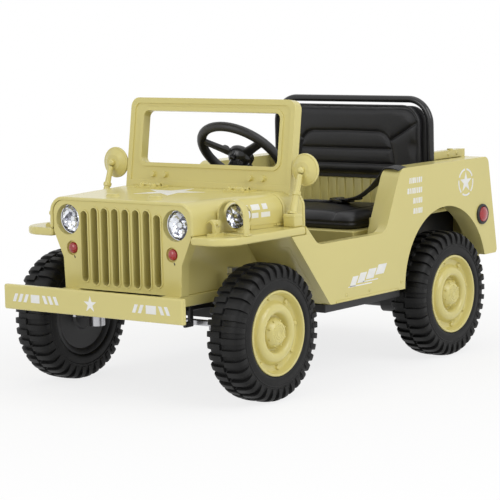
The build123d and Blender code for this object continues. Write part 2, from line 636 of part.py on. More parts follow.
# Mirrors on the fenders: block, stalk and domed head
MIRROR_X = BODY_HALF * 0.92
MIRROR_Y = POST_Y - 16
MIRROR_Z = FENDER_Z + 121
MIRROR_R = 36.0
MIRROR_BASE = (32.0, 30.0, 29.0)
STALK_R = 7.0
STALK_RUN = 36.0         # the stalk leans back by this much
HEAD_T = 20.0
with BuildPart() as mirrors:
    for name, side in SIDES:
        with Locations((side * MIRROR_X, MIRROR_Y, FENDER_Z)):
            Box(*MIRROR_BASE, align=ON_TOP)
        stalk_foot = Vector(side * MIRROR_X, MIRROR_Y, FENDER_Z + MIRROR_BASE[2])
        stalk_top = Vector(side * MIRROR_X, MIRROR_Y + STALK_RUN, MIRROR_Z)
        with BuildSketch(Plane(stalk_foot, z_dir=stalk_top - stalk_foot)):
            Circle(STALK_R)
        extrude(amount=(stalk_top - stalk_foot).length)
        with BuildSketch(lathe_plane(side * MIRROR_X, MIRROR_Y + STALK_RUN + HEAD_T - 4, MIRROR_Z)):
            turned(((0, 0), (MIRROR_R, 0), (MIRROR_R, -6), (MIRROR_R - 10, -15), (0, -HEAD_T)))
        revolve(axis=Axis((side * MIRROR_X, MIRROR_Y, MIRROR_Z), (0, 1, 0)))
keep(mirrors, "mirrors")

GLASS_T = 2.0
with BuildPart() as mirror_glasses:
    glass_y = MIRROR_Y + STALK_RUN + HEAD_T - 4
    with BuildSketch(upright(glass_y + GLASS_T)):
        with Locations((-MIRROR_X, MIRROR_Z), (MIRROR_X, MIRROR_Z)):
            Circle(MIRROR_R - 4)
    extrude(amount=GLASS_T)
keep(mirror_glasses, "mirror_glasses")

# Lamp on the left fender, with its guard
FLAMP_X = BODY_HALF * 0.86
FLAMP_Y = FRONT_AXLE_Y - 44
FLAMP_Z = FENDER_Z + 39
FLAMP_R = BODY_HALF * 0.0933
FLAMP_LENS = -14.0       # lens seat, ahead of the lamp's post
with BuildPart() as fender_lamp:
    with Locations((FLAMP_X, FLAMP_Y, FENDER_Z)):
        Cylinder(9, FLAMP_Z - FENDER_Z, align=ON_TOP)
    with BuildSketch(lathe_plane(FLAMP_X, FLAMP_Y, FLAMP_Z)):
        turned((
            (0, 26),
            (FLAMP_R * 0.43, 23),
            (FLAMP_R * 0.79, 12),
            (FLAMP_R, -8),
            (FLAMP_R, FLAMP_LENS),
            (FLAMP_R - 3, FLAMP_LENS),
            (FLAMP_R * 0.43, 2),
            (0, 4),
        ))
    revolve(axis=Axis((FLAMP_X, FLAMP_Y, FLAMP_Z), (0, 1, 0)))
keep(fender_lamp, "fender_lamp")

with BuildPart() as fender_lamp_lens:
    with BuildSketch(lathe_plane(FLAMP_X, FLAMP_Y + FLAMP_LENS, FLAMP_Z)):
        turned(((0, 0), (FLAMP_R - 1, 0), (FLAMP_R - 1, -2), (FLAMP_R * 0.54, -5), (0, -6)))
    revolve(axis=Axis((FLAMP_X, FLAMP_Y, FLAMP_Z), (0, 1, 0)))
keep(fender_lamp_lens, "fender_lamp_lens")

GUARD_T = 4.0
GUARD_W = 18.0
GUARD_R = FLAMP_R * 1.18
with BuildPart() as lamp_guard:
    with BuildSketch(upright(FLAMP_Y + FLAMP_LENS - 1)):
        with Locations((FLAMP_X, FLAMP_Z)):
            Circle(GUARD_R + GUARD_T)
        with Locations((FLAMP_X, (FENDER_Z + FLAMP_Z) / 2)):
            Rectangle(2 * (GUARD_R + GUARD_T), FLAMP_Z - FENDER_Z)
            Rectangle(2 * GUARD_R, FLAMP_Z - FENDER_Z, mode=Mode.SUBTRACT)
        with Locations((FLAMP_X, FLAMP_Z)):
            Circle(GUARD_R, mode=Mode.SUBTRACT)
    extrude(amount=GUARD_W)
keep(lamp_guard, "lamp_guard")

# Red side lamps on the quarters
SLAMP_Y = TAIL_Y - 69
SLAMP_Z = SILL_Z + 4
SLAMP_R = 25.0
BEZEL_T = 6.0
with BuildPart() as side_lamp_bezels:
    for name, side in SIDES:
        with BuildSketch(across(side, BODY_HALF, BEZEL_T)):
            with Locations((SLAMP_Y, SLAMP_Z)):
                Circle(SLAMP_R)
                Circle(SLAMP_R - BEZEL_T, mode=Mode.SUBTRACT)
        extrude(amount=BEZEL_T)
keep(side_lamp_bezels, "side_lamp_bezels")

with BuildPart() as side_lamps:
    lamp_r = SLAMP_R - BEZEL_T - SEAT_GAP
    for name, side in SIDES:
        lamp_plane = Plane((side * BODY_HALF, SLAMP_Y, SLAMP_Z), x_dir=(0, 1, 0), z_dir=(0, 0, -side))
        with BuildSketch(lamp_plane):
            turned(((0, 0), (lamp_r, 0), (lamp_r, 4), (lamp_r * 0.6, 8), (0, 10)))
        revolve(axis=Axis((0, SLAMP_Y, SLAMP_Z), (1, 0, 0)))
keep(side_lamps, "side_lamps")

# Foot pedal
PEDAL_X = (-75.0, -15.0)
PEDAL_H = 42.0
with BuildPart() as pedal:
    with BuildSketch(Plane.YZ.offset(PEDAL_X[0])):
        panel((
            (COWL_Y + 90, FLOOR_Z, 0),
            (COWL_Y + 20, FLOOR_Z + PEDAL_H, 0),
            (COWL_Y + 26, FLOOR_Z + PEDAL_H + SHEET, 0),
            (COWL_Y + 98, FLOOR_Z + SHEET, 0),
            (COWL_Y + 98, FLOOR_Z, 0),
        ))
    extrude(amount=PEDAL_X[1] - PEDAL_X[0])
keep(pedal, "pedal")

# Steering column tube, fixed to dashboard and firewall
COLUMN_TOP = 92.0        # down the column from the steering wheel
COLUMN_END = SHAFT_END - 124
with BuildPart() as steering_column:
    with BuildSketch(down_column(COLUMN_TOP)):
        Circle(COLUMN_R)
        Circle(SHAFT_R + SEAT_GAP, mode=Mode.SUBTRACT)
    extrude(amount=COLUMN_END - COLUMN_TOP)
keep(steering_column, "steering_column")

# Steering wheel: rim, three spokes and hub
STEER_R = 112.0
STEER_TUBE = 10.0
HUB_R = 30.0
SPOKE_T = 10.0
SPOKE_W = 18.0
SPOKE_ANGLES = (90, 210, 330)
with BuildPart() as steering_wheel:
    steer_plane = Plane(STEER_HUB, x_dir=(1, 0, 0), z_dir=STEER_AXIS)
    with BuildSketch(Plane(STEER_HUB, x_dir=(1, 0, 0), z_dir=-STEER_UP)):
        with Locations((STEER_R - STEER_TUBE, 0)):
            RegularPolygon(STEER_TUBE, 6, major_radius=False)
    revolve(axis=Axis(STEER_HUB, STEER_AXIS))
    with BuildSketch(steer_plane.offset(1 - SPOKE_T)):
        Circle(HUB_R)
        for angle in SPOKE_ANGLES:
            with Locations(Location((0, 0, 0), angle)):
                with Locations((STEER_R / 2 - 4, 0)):
                    Rectangle(STEER_R - SPOKE_W, SPOKE_W)
    extrude(amount=SPOKE_T)
    with BuildSketch(steer_plane.offset(1)):
        Circle(HUB_R)
    extrude(amount=12, taper=20)
keep(steering_wheel, "steering_wheel")

# Steering shaft, with a crank whose pin works the tie rod
CRANK_R = 31.0           # shaft to crank pin
CRANK_T = 14.0
CRANK_PIN_L = 112.0
PIN_R = 6.0
with BuildPart() as steering_shaft:
    with BuildSketch(down_column(SPOKE_T - 1)):
        Circle(SHAFT_R)
    extrude(amount=SHAFT_END - SPOKE_T + 1)
    crank = down_column(SHAFT_END - CRANK_T)
    with BuildSketch(crank):
        with Locations((0, CRANK_R / 2)):
            SlotCenterToCenter(CRANK_R, 2 * SHAFT_R, rotation=90)
    extrude(amount=CRANK_T)
    with BuildSketch(crank):
        with Locations((0, CRANK_R)):
            Circle(PIN_R)
    extrude(amount=CRANK_PIN_L)
keep(steering_shaft, "steering_shaft")

# Front axle beam with kingpin sleeves, and the springs above them
BEAM_T = 24.0
BEAM_Z = (RAIL_Z[0] - DECK_T - BEAM_T, RAIL_Z[0] - DECK_T)
BEAM_HALF_Y = 15.0
KINGPIN_R = 8.0
SLEEVE_R = 16.0
SLEEVE_TOP = PAN_Z + 56
SPRING_R = 14.0
SPRING_TOP = SLEEVE_TOP + 56
NUT_TOP = SPRING_TOP + 12
NUT_R = 13.0
with BuildPart() as front_axle:
    span_box((-KINGPIN_X, KINGPIN_X), (FRONT_AXLE_Y - BEAM_HALF_Y, FRONT_AXLE_Y + BEAM_HALF_Y), BEAM_Z)
    with Locations((-KINGPIN_X, FRONT_AXLE_Y, BEAM_Z[0]), (KINGPIN_X, FRONT_AXLE_Y, BEAM_Z[0])):
        Cylinder(SLEEVE_R, SLEEVE_TOP - BEAM_Z[0], align=ON_TOP)
        Cylinder(KINGPIN_R + STUB_FIT, 2 * SLEEVE_TOP, mode=Mode.SUBTRACT)
keep(front_axle, "front_axle")

with BuildPart() as front_springs:
    with Locations((-KINGPIN_X, FRONT_AXLE_Y, SLEEVE_TOP), (KINGPIN_X, FRONT_AXLE_Y, SLEEVE_TOP)):
        Cylinder(SPRING_R, SPRING_TOP - SLEEVE_TOP - SEAT_GAP, align=ON_TOP)
        Cylinder(KINGPIN_R + SEAT_GAP, 2 * SPRING_TOP, mode=Mode.SUBTRACT)
keep(front_springs, "front_springs")

# Knuckles: kingpin with nut, stub axle, steering arm and tie rod pin
STUB_R = 7.0
STUB_END = WHEEL_FACE_X - 14
KNUCKLE_R = 18.0
KNUCKLE_LOW = TYRE_R - 22
ARM_L = 70.0             # kingpin to tie rod pin, towards the nose
ARM_W = 22.0
ARM_Z = (TYRE_R + 8, TYRE_R + 16)
TIE_T = 10.0
TIE_Z = ARM_Z[1] + SEAT_GAP
for name, side in SIDES:
    with BuildPart() as knuckle:
        with Locations((side * KINGPIN_X, FRONT_AXLE_Y, KNUCKLE_LOW)):
            Cylinder(KNUCKLE_R, BEAM_Z[0] - SEAT_GAP - KNUCKLE_LOW, align=ON_TOP)
            Cylinder(KINGPIN_R, NUT_TOP - KNUCKLE_LOW, align=ON_TOP)
        with BuildSketch(Plane.XY.offset(SPRING_TOP)):
            with Locations((side * KINGPIN_X, FRONT_AXLE_Y)):
                RegularPolygon(NUT_R, 6)
        extrude(amount=NUT_TOP - SPRING_TOP)
        stub_root = Plane((side * KINGPIN_X, FRONT_AXLE_Y, TYRE_R), x_dir=(0, 1, 0), z_dir=(side, 0, 0))
        with BuildSketch(stub_root):
            Circle(STUB_R)
        extrude(amount=STUB_END - KINGPIN_X)
        with BuildSketch(Plane.XY.offset(ARM_Z[0])):
            with Locations((side * KINGPIN_X, FRONT_AXLE_Y - ARM_L / 2)):
                SlotCenterToCenter(ARM_L, ARM_W, rotation=90)
        extrude(amount=ARM_Z[1] - ARM_Z[0])
        with Locations((side * KINGPIN_X, FRONT_AXLE_Y - ARM_L, ARM_Z[0])):
            Cylinder(PIN_R, TIE_Z + TIE_T + 3 - ARM_Z[0], align=ON_TOP)
    keep(knuckle, f"knuckle_{name}")

# Tie rod with a slot for the crank pin
SLOT_L = 46.0
with BuildPart() as tie_rod:
    tie_y = FRONT_AXLE_Y - ARM_L
    with BuildSketch(Plane.XY.offset(TIE_Z)):
        with Locations((0, tie_y)):
            SlotCenterToCenter(2 * KINGPIN_X, ARM_W - 2)
        with Locations((0, tie_y + 8)):
            RectangleRounded(40, SLOT_L + 24, 8)
            RectangleRounded(2 * PIN_R + 5, SLOT_L, PIN_R, mode=Mode.SUBTRACT)
        with Locations((KINGPIN_X, tie_y)):
            Circle(PIN_R + STUB_FIT, mode=Mode.SUBTRACT)
        with Locations((-KINGPIN_X, tie_y)):
            Circle(PIN_R + SEAT_GAP, mode=Mode.SUBTRACT)
    extrude(amount=TIE_T)
keep(tie_rod, "tie_rod")

# Rear axle and the gearboxes that carry it under the pan
with BuildPart() as rear_axle:
    with Locations(Location((0, REAR_AXLE_Y, TYRE_R), (0, 90, 0))):
        Cylinder(STUB_R, 2 * STUB_END)
keep(rear_axle, "rear_axle")

GEARBOX_W = 48.0
GEARBOX_IN = TUB_HALF - GEARBOX_W
MOTOR_R = 18.0
MOTOR_L = 60.0
with BuildPart() as gearboxes:
    for name, side in SIDES:
        with BuildSketch(across(side, GEARBOX_IN, GEARBOX_W)):
            with Locations((REAR_AXLE_Y - 22, TYRE_R - 16)):
                RectangleRounded(120, 56, 18)
            with Locations((REAR_AXLE_Y - 22, PAN_Z - 10)):
                Rectangle(90, 20)
            with Locations((REAR_AXLE_Y, TYRE_R)):
                Circle(STUB_R + STUB_FIT, mode=Mode.SUBTRACT)
        extrude(amount=GEARBOX_W)
        with BuildSketch(across(side, GEARBOX_IN - MOTOR_L, MOTOR_L)):
            with Locations((REAR_AXLE_Y - 56, TYRE_R - 16)):
                Circle(MOTOR_R)
        extrude(amount=MOTOR_L)
keep(gearboxes, "gearboxes")

# Wheels. The two tread halves share their root corners, half a pitch apart.
HALF_W = TYRE_W / 2
SHOULDER_W = 9.0         # bevelled edge of the tyre
TREAD_HALF = HALF_W - SHOULDER_W
LUG_DEPTH = 7.0
ROOT_R = TYRE_R - LUG_DEPTH
SIDEWALL_R = TYRE_R * 0.867
RIM_R = TYRE_R * 0.62
RIM_FIT = 0.2
PITCH = 2 * pi / LUG_COUNT
TIP_ANGLE = PITCH * 0.2
TIP_R = TYRE_R / cos(TIP_ANGLE)
# Wheel disc: (share of the rim's radius, depth behind the wheel's outer face)
DISC_SECTION = (
    (1.0, 2),
    (0.945, 2),
    (0.89, 18),
    (0.75, 20),
    (0.66, 9),
    (0.5, 9),
    (0.42, 16),
    (0.37, 3),
    (0.24, 1),
    (0.0, 1),
    (0.0, 13),
)


def ring_points(radii_and_angles, count):
    """Points round a wheel: each row of (radius, angle) once in every pitch, from the ground up."""
    points = []
    for index in range(count):
        middle = -pi / 2 + index * 2 * pi / count
        for radius, offset in radii_and_angles:
            points.append((radius * cos(middle + offset), radius * sin(middle + offset)))
    return points


def ring_face(points):
    with BuildLine() as outline:
        Polyline(*points, close=True)
    make_face(outline.edges())


for axle_name, axle_y in AXLES:
    for name, side in SIDES:
        middle = wheel_plane(side, axle_y)
        with BuildPart() as tyre:
            for direction, turn in ((1, 0), (-1, PITCH / 2)):
                lug = ((ROOT_R, turn - PITCH / 4), (TIP_R, turn - TIP_ANGLE), (TIP_R, turn + TIP_ANGLE),
                       (ROOT_R, turn + PITCH / 4))
                with BuildSketch(middle):
                    ring_face(ring_points(lug, LUG_COUNT))
                extrude(amount=direction * TREAD_HALF)
                corner = turn + PITCH / 4
                for radius, place in ((ROOT_R, TREAD_HALF), (SIDEWALL_R, HALF_W)):
                    with BuildSketch(middle.offset(direction * place)):
                        ring_face(ring_points(((radius, -PITCH / 4), (radius, PITCH / 4)), LUG_COUNT))
                loft(ruled=True)
            with BuildSketch(middle):
                RegularPolygon(RIM_R + RIM_FIT, LUG_COUNT, major_radius=False)
            extrude(amount=TYRE_W, both=True, mode=Mode.SUBTRACT)
        keep(tyre, f"tyre_{axle_name}_{name}")

        with BuildPart() as rim:
            bore = STUB_R + STUB_FIT
            disc = [(RIM_R * share, HALF_W - depth) for share, depth in DISC_SECTION]
            with BuildSketch(axis_plane(side, axle_y)):
                turned((*disc, (bore, HALF_W - 13), (bore, 4 - HALF_W), (RIM_R, 4 - HALF_W)))
            revolve(axis=Axis((0, axle_y, TYRE_R), (1, 0, 0)))
        keep(rim, f"rim_{axle_name}_{name}")

# Seat belt: webbing from the left jamb to a buckle on the cushion, then across it
BELT_W = 30.0
BELT_T = 3.0
BUCKLE_SIZE = (46.0, 38.0, 10.0)
BELT_END = Vector(INNER_HALF, QUARTER_Y + 84, QUARTER_Z - 26)
BUCKLE = Vector(20, REAR_AXLE_Y - 40, SEAT_BOX_Z + CUSHION_T + BUCKLE_SIZE[2] / 2)
with BuildPart() as seat_belt:
    run = BELT_END - BUCKLE
    with BuildSketch(Plane(BUCKLE, x_dir=(run.Y, -run.X, 0), z_dir=run)):
        Rectangle(BELT_W, BELT_T)
    extrude(amount=run.length - BELT_W / 2)
    lap_z = SEAT_BOX_Z + CUSHION_T
    lap_y = (BUCKLE.Y - BELT_W / 2, BUCKLE.Y + BELT_W / 2)
    span_box((14 - SEAT_HALF, BUCKLE.X), lap_y, (lap_z, lap_z + BELT_T))
    with Locations(BUCKLE):
        Box(*BUCKLE_SIZE)
keep(seat_belt, "seat_belt")
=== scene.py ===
import json
from math import cos, pi, radians, sin, sqrt

import bmesh
import bpy
import numpy as np
from mathutils import Matrix, Vector
from mathutils.bvhtree import BVHTree


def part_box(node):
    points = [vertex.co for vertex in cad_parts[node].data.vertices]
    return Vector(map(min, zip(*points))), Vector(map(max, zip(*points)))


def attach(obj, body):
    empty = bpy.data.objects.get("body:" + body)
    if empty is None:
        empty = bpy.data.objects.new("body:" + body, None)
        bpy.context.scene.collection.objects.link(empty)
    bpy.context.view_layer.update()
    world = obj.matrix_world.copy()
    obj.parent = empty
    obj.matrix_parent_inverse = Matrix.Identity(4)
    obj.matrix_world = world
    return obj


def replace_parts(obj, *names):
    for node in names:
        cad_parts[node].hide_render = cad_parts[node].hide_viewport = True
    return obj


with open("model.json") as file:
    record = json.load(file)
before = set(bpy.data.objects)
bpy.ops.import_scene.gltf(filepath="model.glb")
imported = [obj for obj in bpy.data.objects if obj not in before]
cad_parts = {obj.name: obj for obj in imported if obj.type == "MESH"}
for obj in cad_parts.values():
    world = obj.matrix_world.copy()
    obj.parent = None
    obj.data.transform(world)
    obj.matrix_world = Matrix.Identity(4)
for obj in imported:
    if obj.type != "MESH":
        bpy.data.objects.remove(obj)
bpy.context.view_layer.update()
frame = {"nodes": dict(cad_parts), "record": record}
NODES = frame["nodes"]
SIDES = (("left", 1), ("right", -1))

# Places from the CAD model, in millimetres. The nose points to -Y and the car's left is +X.
AXLE_Y = {"front": -342.0, "rear": 350.0}
WHEEL_X = 279.0
WHEEL_FACE_X = 324.0
TYRE_R = 150.0
BODY_HALF = 300.0
FENDER_Z = 366.0
BONNET_Z = 437.0
BONNET_R = 36.0
BONNET_ENDS = ((-483.0, 205.0), (-223.0, 250.0))     # (y, half width) at the front and at the cowl
GRILLE_Y = -479.0
DASH_Y = -142.0
PLANK_Y = -584.6


# Materials

def add_node(tree, kind, values=None, links=None):
    """Shader node with values set on some sockets and others linked."""
    node = tree.nodes.new(f"ShaderNode{kind}")
    for socket, value in (values or {}).items():
        node.inputs[socket].default_value = value
    for socket, source in (links or {}).items():
        tree.links.new(source, node.inputs[socket])
    return node


class Shader:
    """A Principled material. A texture is given as its kind and settings, and every step returns the shader."""

    def __init__(self, name, color, rough, metal=0.0, coat=0.0, spec=0.5):
        self.mat = bpy.data.materials.new(name)
        self.mat.use_nodes = True
        self.tree = self.mat.node_tree
        self.bsdf = self.tree.nodes["Principled BSDF"]
        self.color = color
        self.rough = rough
        self.put("Base Color", (*color, 1.0)).put("Roughness", rough).put("Metallic", metal)
        self.put("Coat Weight", coat).put("Specular IOR Level", spec)
        self.coords = add_node(self.tree, "TexCoord").outputs["Object"]
        self.normal = None

    def put(self, socket, value):
        self.bsdf.inputs[socket].default_value = value
        return self

    def feed(self, socket, source):
        self.tree.links.new(source, self.bsdf.inputs[socket])
        return self

    def texture(self, kind, *settings):
        return {"noise": self.noise, "cells": self.cells, "wave": self.wave}[kind](*settings)

    def noise(self, scale, detail, stretch=None):
        source = self.coords
        if stretch:
            source = add_node(self.tree, "Mapping", {"Scale": stretch}, {"Vector": source}).outputs["Vector"]
        return add_node(self.tree, "TexNoise", {"Scale": scale, "Detail": detail}, {"Vector": source}).outputs["Fac"]

    def cells(self, scale, output="Distance"):
        return add_node(self.tree, "TexVoronoi", {"Scale": scale}, {"Vector": self.coords}).outputs[output]

    def wave(self, scale, axis):
        node = add_node(self.tree, "TexWave", {"Scale": scale}, {"Vector": self.coords})
        node.bands_direction = axis
        return node.outputs["Fac"]

    def bump(self, texture, strength, distance):
        links = {"Height": self.texture(*texture)}
        if self.normal is not None:
            links["Normal"] = self.normal
        self.normal = add_node(self.tree, "Bump", {"Strength": strength, "Distance": distance}, links).outputs["Normal"]
        return self.feed("Normal", self.normal)

    def tint(self, texture, low, high, start=0.3, end=0.7):
        node = add_node(self.tree, "ValToRGB", links={"Fac": self.texture(*texture)})
        for element, color, position in zip(node.color_ramp.elements, (low, high), (start, end)):
            element.position = position
            element.color = (*color, 1.0)
        return self.feed("Base Color", node.outputs["Color"])

    def vary_color(self, texture, share, start=0.3, end=0.7):
        low = tuple(c * (1 - share) for c in self.color)
        high = tuple(min(1.0, c * (1 + share)) for c in self.color)
        return self.tint(texture, low, high, start, end)

    def vary_rough(self, texture, amount):
        limits = {"To Min": max(0.02, self.rough - amount), "To Max": min(1.0, self.rough + amount)}
        node = add_node(self.tree, "MapRange", limits, {"Value": self.texture(*texture)})
        return self.feed("Roughness", node.outputs["Result"])


def plastic(name, color, rough, grain):
    made = Shader(name, color, rough)
    made.vary_color(("noise", 3.0, 3.0), 0.012).vary_rough(("noise", 35.0, 6.0), 0.03)
    return made.bump(("noise", 900.0, 2.0), grain, 0.0004).bump(("noise", 7.0, 1.0), 0.012, 0.004).mat


SAND = plastic("sand_moulding", (0.690, 0.612, 0.232), 0.22, 0.03)
BLACK = plastic("black_moulding", (0.014, 0.014, 0.015), 0.46, 0.18)
GLOSS_BLACK = plastic("black_gloss", (0.012, 0.012, 0.013), 0.20, 0.05)
TYRE = (Shader("tyre_moulding", (0.0065, 0.0065, 0.0065), 0.52, spec=0.26)
        .vary_color(("noise", 14.0, 6.0), 0.22).vary_rough(("noise", 60.0, 5.0), 0.10)
        .bump(("noise", 520.0, 4.0), 0.16, 0.0006).mat)
VINYL = (Shader("seat_vinyl", (0.0105, 0.0105, 0.0118), 0.42, spec=0.38)
         .vary_color(("noise", 9.0, 5.0), 0.12).vary_rough(("noise", 40.0, 4.0), 0.07)
         .bump(("cells", 620.0), 0.28, 0.0006).bump(("noise", 16.0, 3.0), 0.14, 0.003).mat)
THREAD = (Shader("seat_thread", (0.010, 0.010, 0.011), 0.62, spec=0.35)
          .vary_color(("wave", 900.0, "DIAGONAL"), 0.35, 0.2, 0.8).bump(("wave", 900.0, "DIAGONAL"), 0.5, 0.0005).mat)
WEBBING = (Shader("webbing_weave", (0.020, 0.020, 0.021), 0.70, spec=0.28)
           .vary_color(("wave", 210.0, "X"), 0.30, 0.2, 0.8).bump(("wave", 210.0, "X"), 0.6, 0.0007)
           .bump(("wave", 210.0, "Y"), 0.6, 0.0007).put("Sheen Weight", 0.2).mat)
CHROME = (Shader("chrome_plate", (0.80, 0.81, 0.83), 0.08, metal=1.0)
          .vary_rough(("noise", 30.0, 4.0), 0.03).vary_color(("noise", 60.0, 3.0), 0.12).mat)
# Reflector metal with painted reflections: near-black and near-white cells in its colour stand in for the dark and
# bright things its facets reflect.
REFLECTOR_PAINTED_REFLECTIONS = (Shader("reflector_painted_reflections", (0.72, 0.73, 0.77), 0.10, metal=1.0)
             .tint(("cells", 95.0, "Color"), (0.10, 0.10, 0.13), (0.93, 0.94, 0.98), 0.22, 0.62)
             .bump(("cells", 95.0), 0.6, 0.004).mat)
STEEL = (Shader("plated_steel", (0.52, 0.52, 0.54), 0.30, metal=1.0)
         .vary_rough(("noise", 80.0, 6.0, (1, 1, 8)), 0.10).bump(("noise", 300.0, 3.0), 0.05, 0.0003).mat)
MIRROR = Shader("mirror_glass", (0.86, 0.87, 0.89), 0.03, metal=1.0).vary_rough(("noise", 20.0, 3.0), 0.015).mat
RED = (Shader("red_lens", (0.36, 0.004, 0.006), 0.12, coat=0.8)
       .bump(("noise", 160.0, 2.0), 0.06, 0.0008).vary_color(("noise", 25.0, 3.0), 0.15).mat)
LENS = (Shader("clear_lens", (0.97, 0.98, 0.99), 0.03).put("Transmission Weight", 1.0).put("IOR", 1.30)
        .bump(("wave", 40.0, "X"), 0.08, 0.0006).mat)
DECAL = (Shader("stencil_white", (0.86, 0.86, 0.83), 0.40)
         .vary_color(("noise", 45.0, 6.0), 0.04).bump(("noise", 700.0, 3.0), 0.06, 0.0003).mat)
DIAL = Shader("dial_face", (0.030, 0.030, 0.032), 0.25, coat=0.5).vary_color(("noise", 50.0, 3.0), 0.10).mat

SLOT_MATERIAL = {
    "sand_plastic": SAND, "black_plastic": BLACK, "tyre": TYRE, "seat_vinyl": VINYL, "webbing": WEBBING,
    "chrome": CHROME, "clear_lens": LENS, "red_lens": RED, "steel": STEEL, "mirror": MIRROR,
}
MATERIAL_SLOT = {material.name: slot for slot, material in SLOT_MATERIAL.items()}
for material, like in ((GLOSS_BLACK, BLACK), (DIAL, BLACK), (THREAD, VINYL), (REFLECTOR_PAINTED_REFLECTIONS, CHROME), (DECAL, SAND)):
    MATERIAL_SLOT[material.name] = MATERIAL_SLOT[like.name]
NODE_SLOT = {row["node"]: row["material_slot"] for row in frame["record"]["subparts"]}
for node_name, node_object in NODES.items():
    node_object.data.materials.clear()
    node_object.data.materials.append(SLOT_MATERIAL[NODE_SLOT[node_name]])


# Mesh helpers

def add_object(name, data):
    made = bpy.data.objects.new(name, data)
    bpy.context.scene.collection.objects.link(made)
    return made


def finish_mesh(name, mesh, material, body, angle):
    """Object from a mesh, smooth up to an angle, riding on a body."""
    mesh.materials.clear()
    mesh.materials.append(material)
    mesh.shade_smooth()
    mesh.set_sharp_from_angle(angle=radians(angle))
    made = add_object(name, mesh)
    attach(made, body)
    return made


class Build:
    """Collects several closed shapes, given in millimetres, into one piece."""

    def __init__(self):
        self.verts = []
        self.faces = []

    def add(self, verts, faces):
        start = len(self.verts)
        self.verts += [Vector(v) for v in verts]
        self.faces += [tuple(i + start for i in f) for f in faces]
        return self

    def lathe(self, profile, origin, axis, segments=48, start=None):
        """Turned shape: rows of (radius, height along the axis). A radius of 0 closes an end."""
        axis = Vector(axis).normalized()
        side = Vector(start) if start else axis.orthogonal()
        side = (side - axis * side.dot(axis)).normalized()
        over = axis.cross(side)
        origin = Vector(origin)
        verts, rings = [], []
        for radius, height in profile:
            base = origin + axis * height
            if radius < 1e-4:
                rings.append([len(verts)])
                verts.append(base)
                continue
            ring = []
            for i in range(segments):
                turn = 2 * pi * i / segments
                ring.append(len(verts))
                verts.append(base + (side * cos(turn) + over * sin(turn)) * radius)
            rings.append(ring)
        faces = []
        for low, high in zip(rings, rings[1:]):
            for i in range(segments):
                j = (i + 1) % segments
                if len(low) == 1:
                    faces.append((low[0], high[i], high[j]))
                elif len(high) == 1:
                    faces.append((low[i], high[0], low[j]))
                else:
                    faces.append((low[i], high[i], high[j], low[j]))
        return self.add(verts, faces)

    def block(self, centre, size, bevel=1.0, turn=None, segments=2):
        """Box with rounded edges."""
        bm = bmesh.new()
        bmesh.ops.create_cube(bm, size=1.0)
        for v in bm.verts:
            v.co = Vector(c * s for c, s in zip(v.co, size))
        if bevel > 0:
            bmesh.ops.bevel(bm, geom=list(bm.edges), offset=bevel, segments=segments, profile=0.5,
                            affect="EDGES", clamp_overlap=True)
        where = Matrix.Translation(Vector(centre))
        if turn is not None:
            where = where @ turn.to_4x4()
        verts = [where @ v.co for v in bm.verts]
        bm.verts.index_update()
        faces = [tuple(v.index for v in f.verts) for f in bm.faces]
        bm.free()
        return self.add(verts, faces)

    def tube(self, points, radius, sides=16, closed=False):
        """Round bar along points."""
        points = [Vector(p) for p in points]
        count = len(points)
        rings = []
        previous = None
        for i, p in enumerate(points):
            if closed:
                ahead = points[(i + 1) % count] - points[i - 1]
            else:
                ahead = points[min(i + 1, count - 1)] - points[max(i - 1, 0)]
            ahead.normalize()
            if previous is None:
                previous = ahead.orthogonal().normalized()
            previous = (previous - ahead * previous.dot(ahead)).normalized()
            over = ahead.cross(previous)
            turns = [2 * pi * k / sides for k in range(sides)]
            rings.append([p + (previous * cos(turn) + over * sin(turn)) * radius for turn in turns])
        if closed:
            rings.append(rings[0])
        return self.rows(rings, closed_ends=not closed)

    def slab(self, outline, normal, thick):
        """Flat plate from a closed outline of points, thickened along a normal."""
        lift = Vector(normal).normalized() * thick
        return self.rows([outline, [p + lift for p in outline]])

    def rows(self, rings, closed_ends=True):
        """Skin over closed rings of points with the same count."""
        count = len(rings[0])
        verts = [p for ring in rings for p in ring]
        faces = []
        for r in range(len(rings) - 1):
            for k in range(count):
                m = (k + 1) % count
                faces.append((r * count + k, r * count + m, (r + 1) * count + m, (r + 1) * count + k))
        if closed_ends:
            faces.append(tuple(range(count - 1, -1, -1)))
            faces.append(tuple((len(rings) - 1) * count + k for k in range(count)))
        return self.add(verts, faces)

    def screw(self, place, axis, radius=4.0, height=2.2):
        """Pan-head screw with a fine raised cross."""
        self.lathe(((0, -1), (radius, -1), (radius, height * 0.45), (radius * 0.8, height * 0.85),
                    (radius * 0.45, height), (0, height)), place, axis, 20)
        axis = Vector(axis).normalized()
        side = axis.orthogonal().normalized()
        over = axis.cross(side)
        turn = Matrix((side, over, axis)).transposed()
        top = Vector(place) + axis * (height + 0.05)
        self.block(top, (radius, radius * 0.24, 0.3), 0, turn)
        return self.block(top, (radius * 0.24, radius, 0.3), 0, turn)

    def done(self, name, material, body="body", angle=38.0):
        mesh = bpy.data.meshes.new(name)
        mesh.from_pydata([tuple(v * 0.001) for v in self.verts], [], self.faces)
        mesh.validate()
        bm = bmesh.new()
        bm.from_mesh(mesh)
        bmesh.ops.remove_doubles(bm, verts=bm.verts, dist=1e-6)
        bmesh.ops.recalc_face_normals(bm, faces=bm.faces)
        bm.to_mesh(mesh)
        bm.free()
        return finish_mesh(name, mesh, material, body, angle)


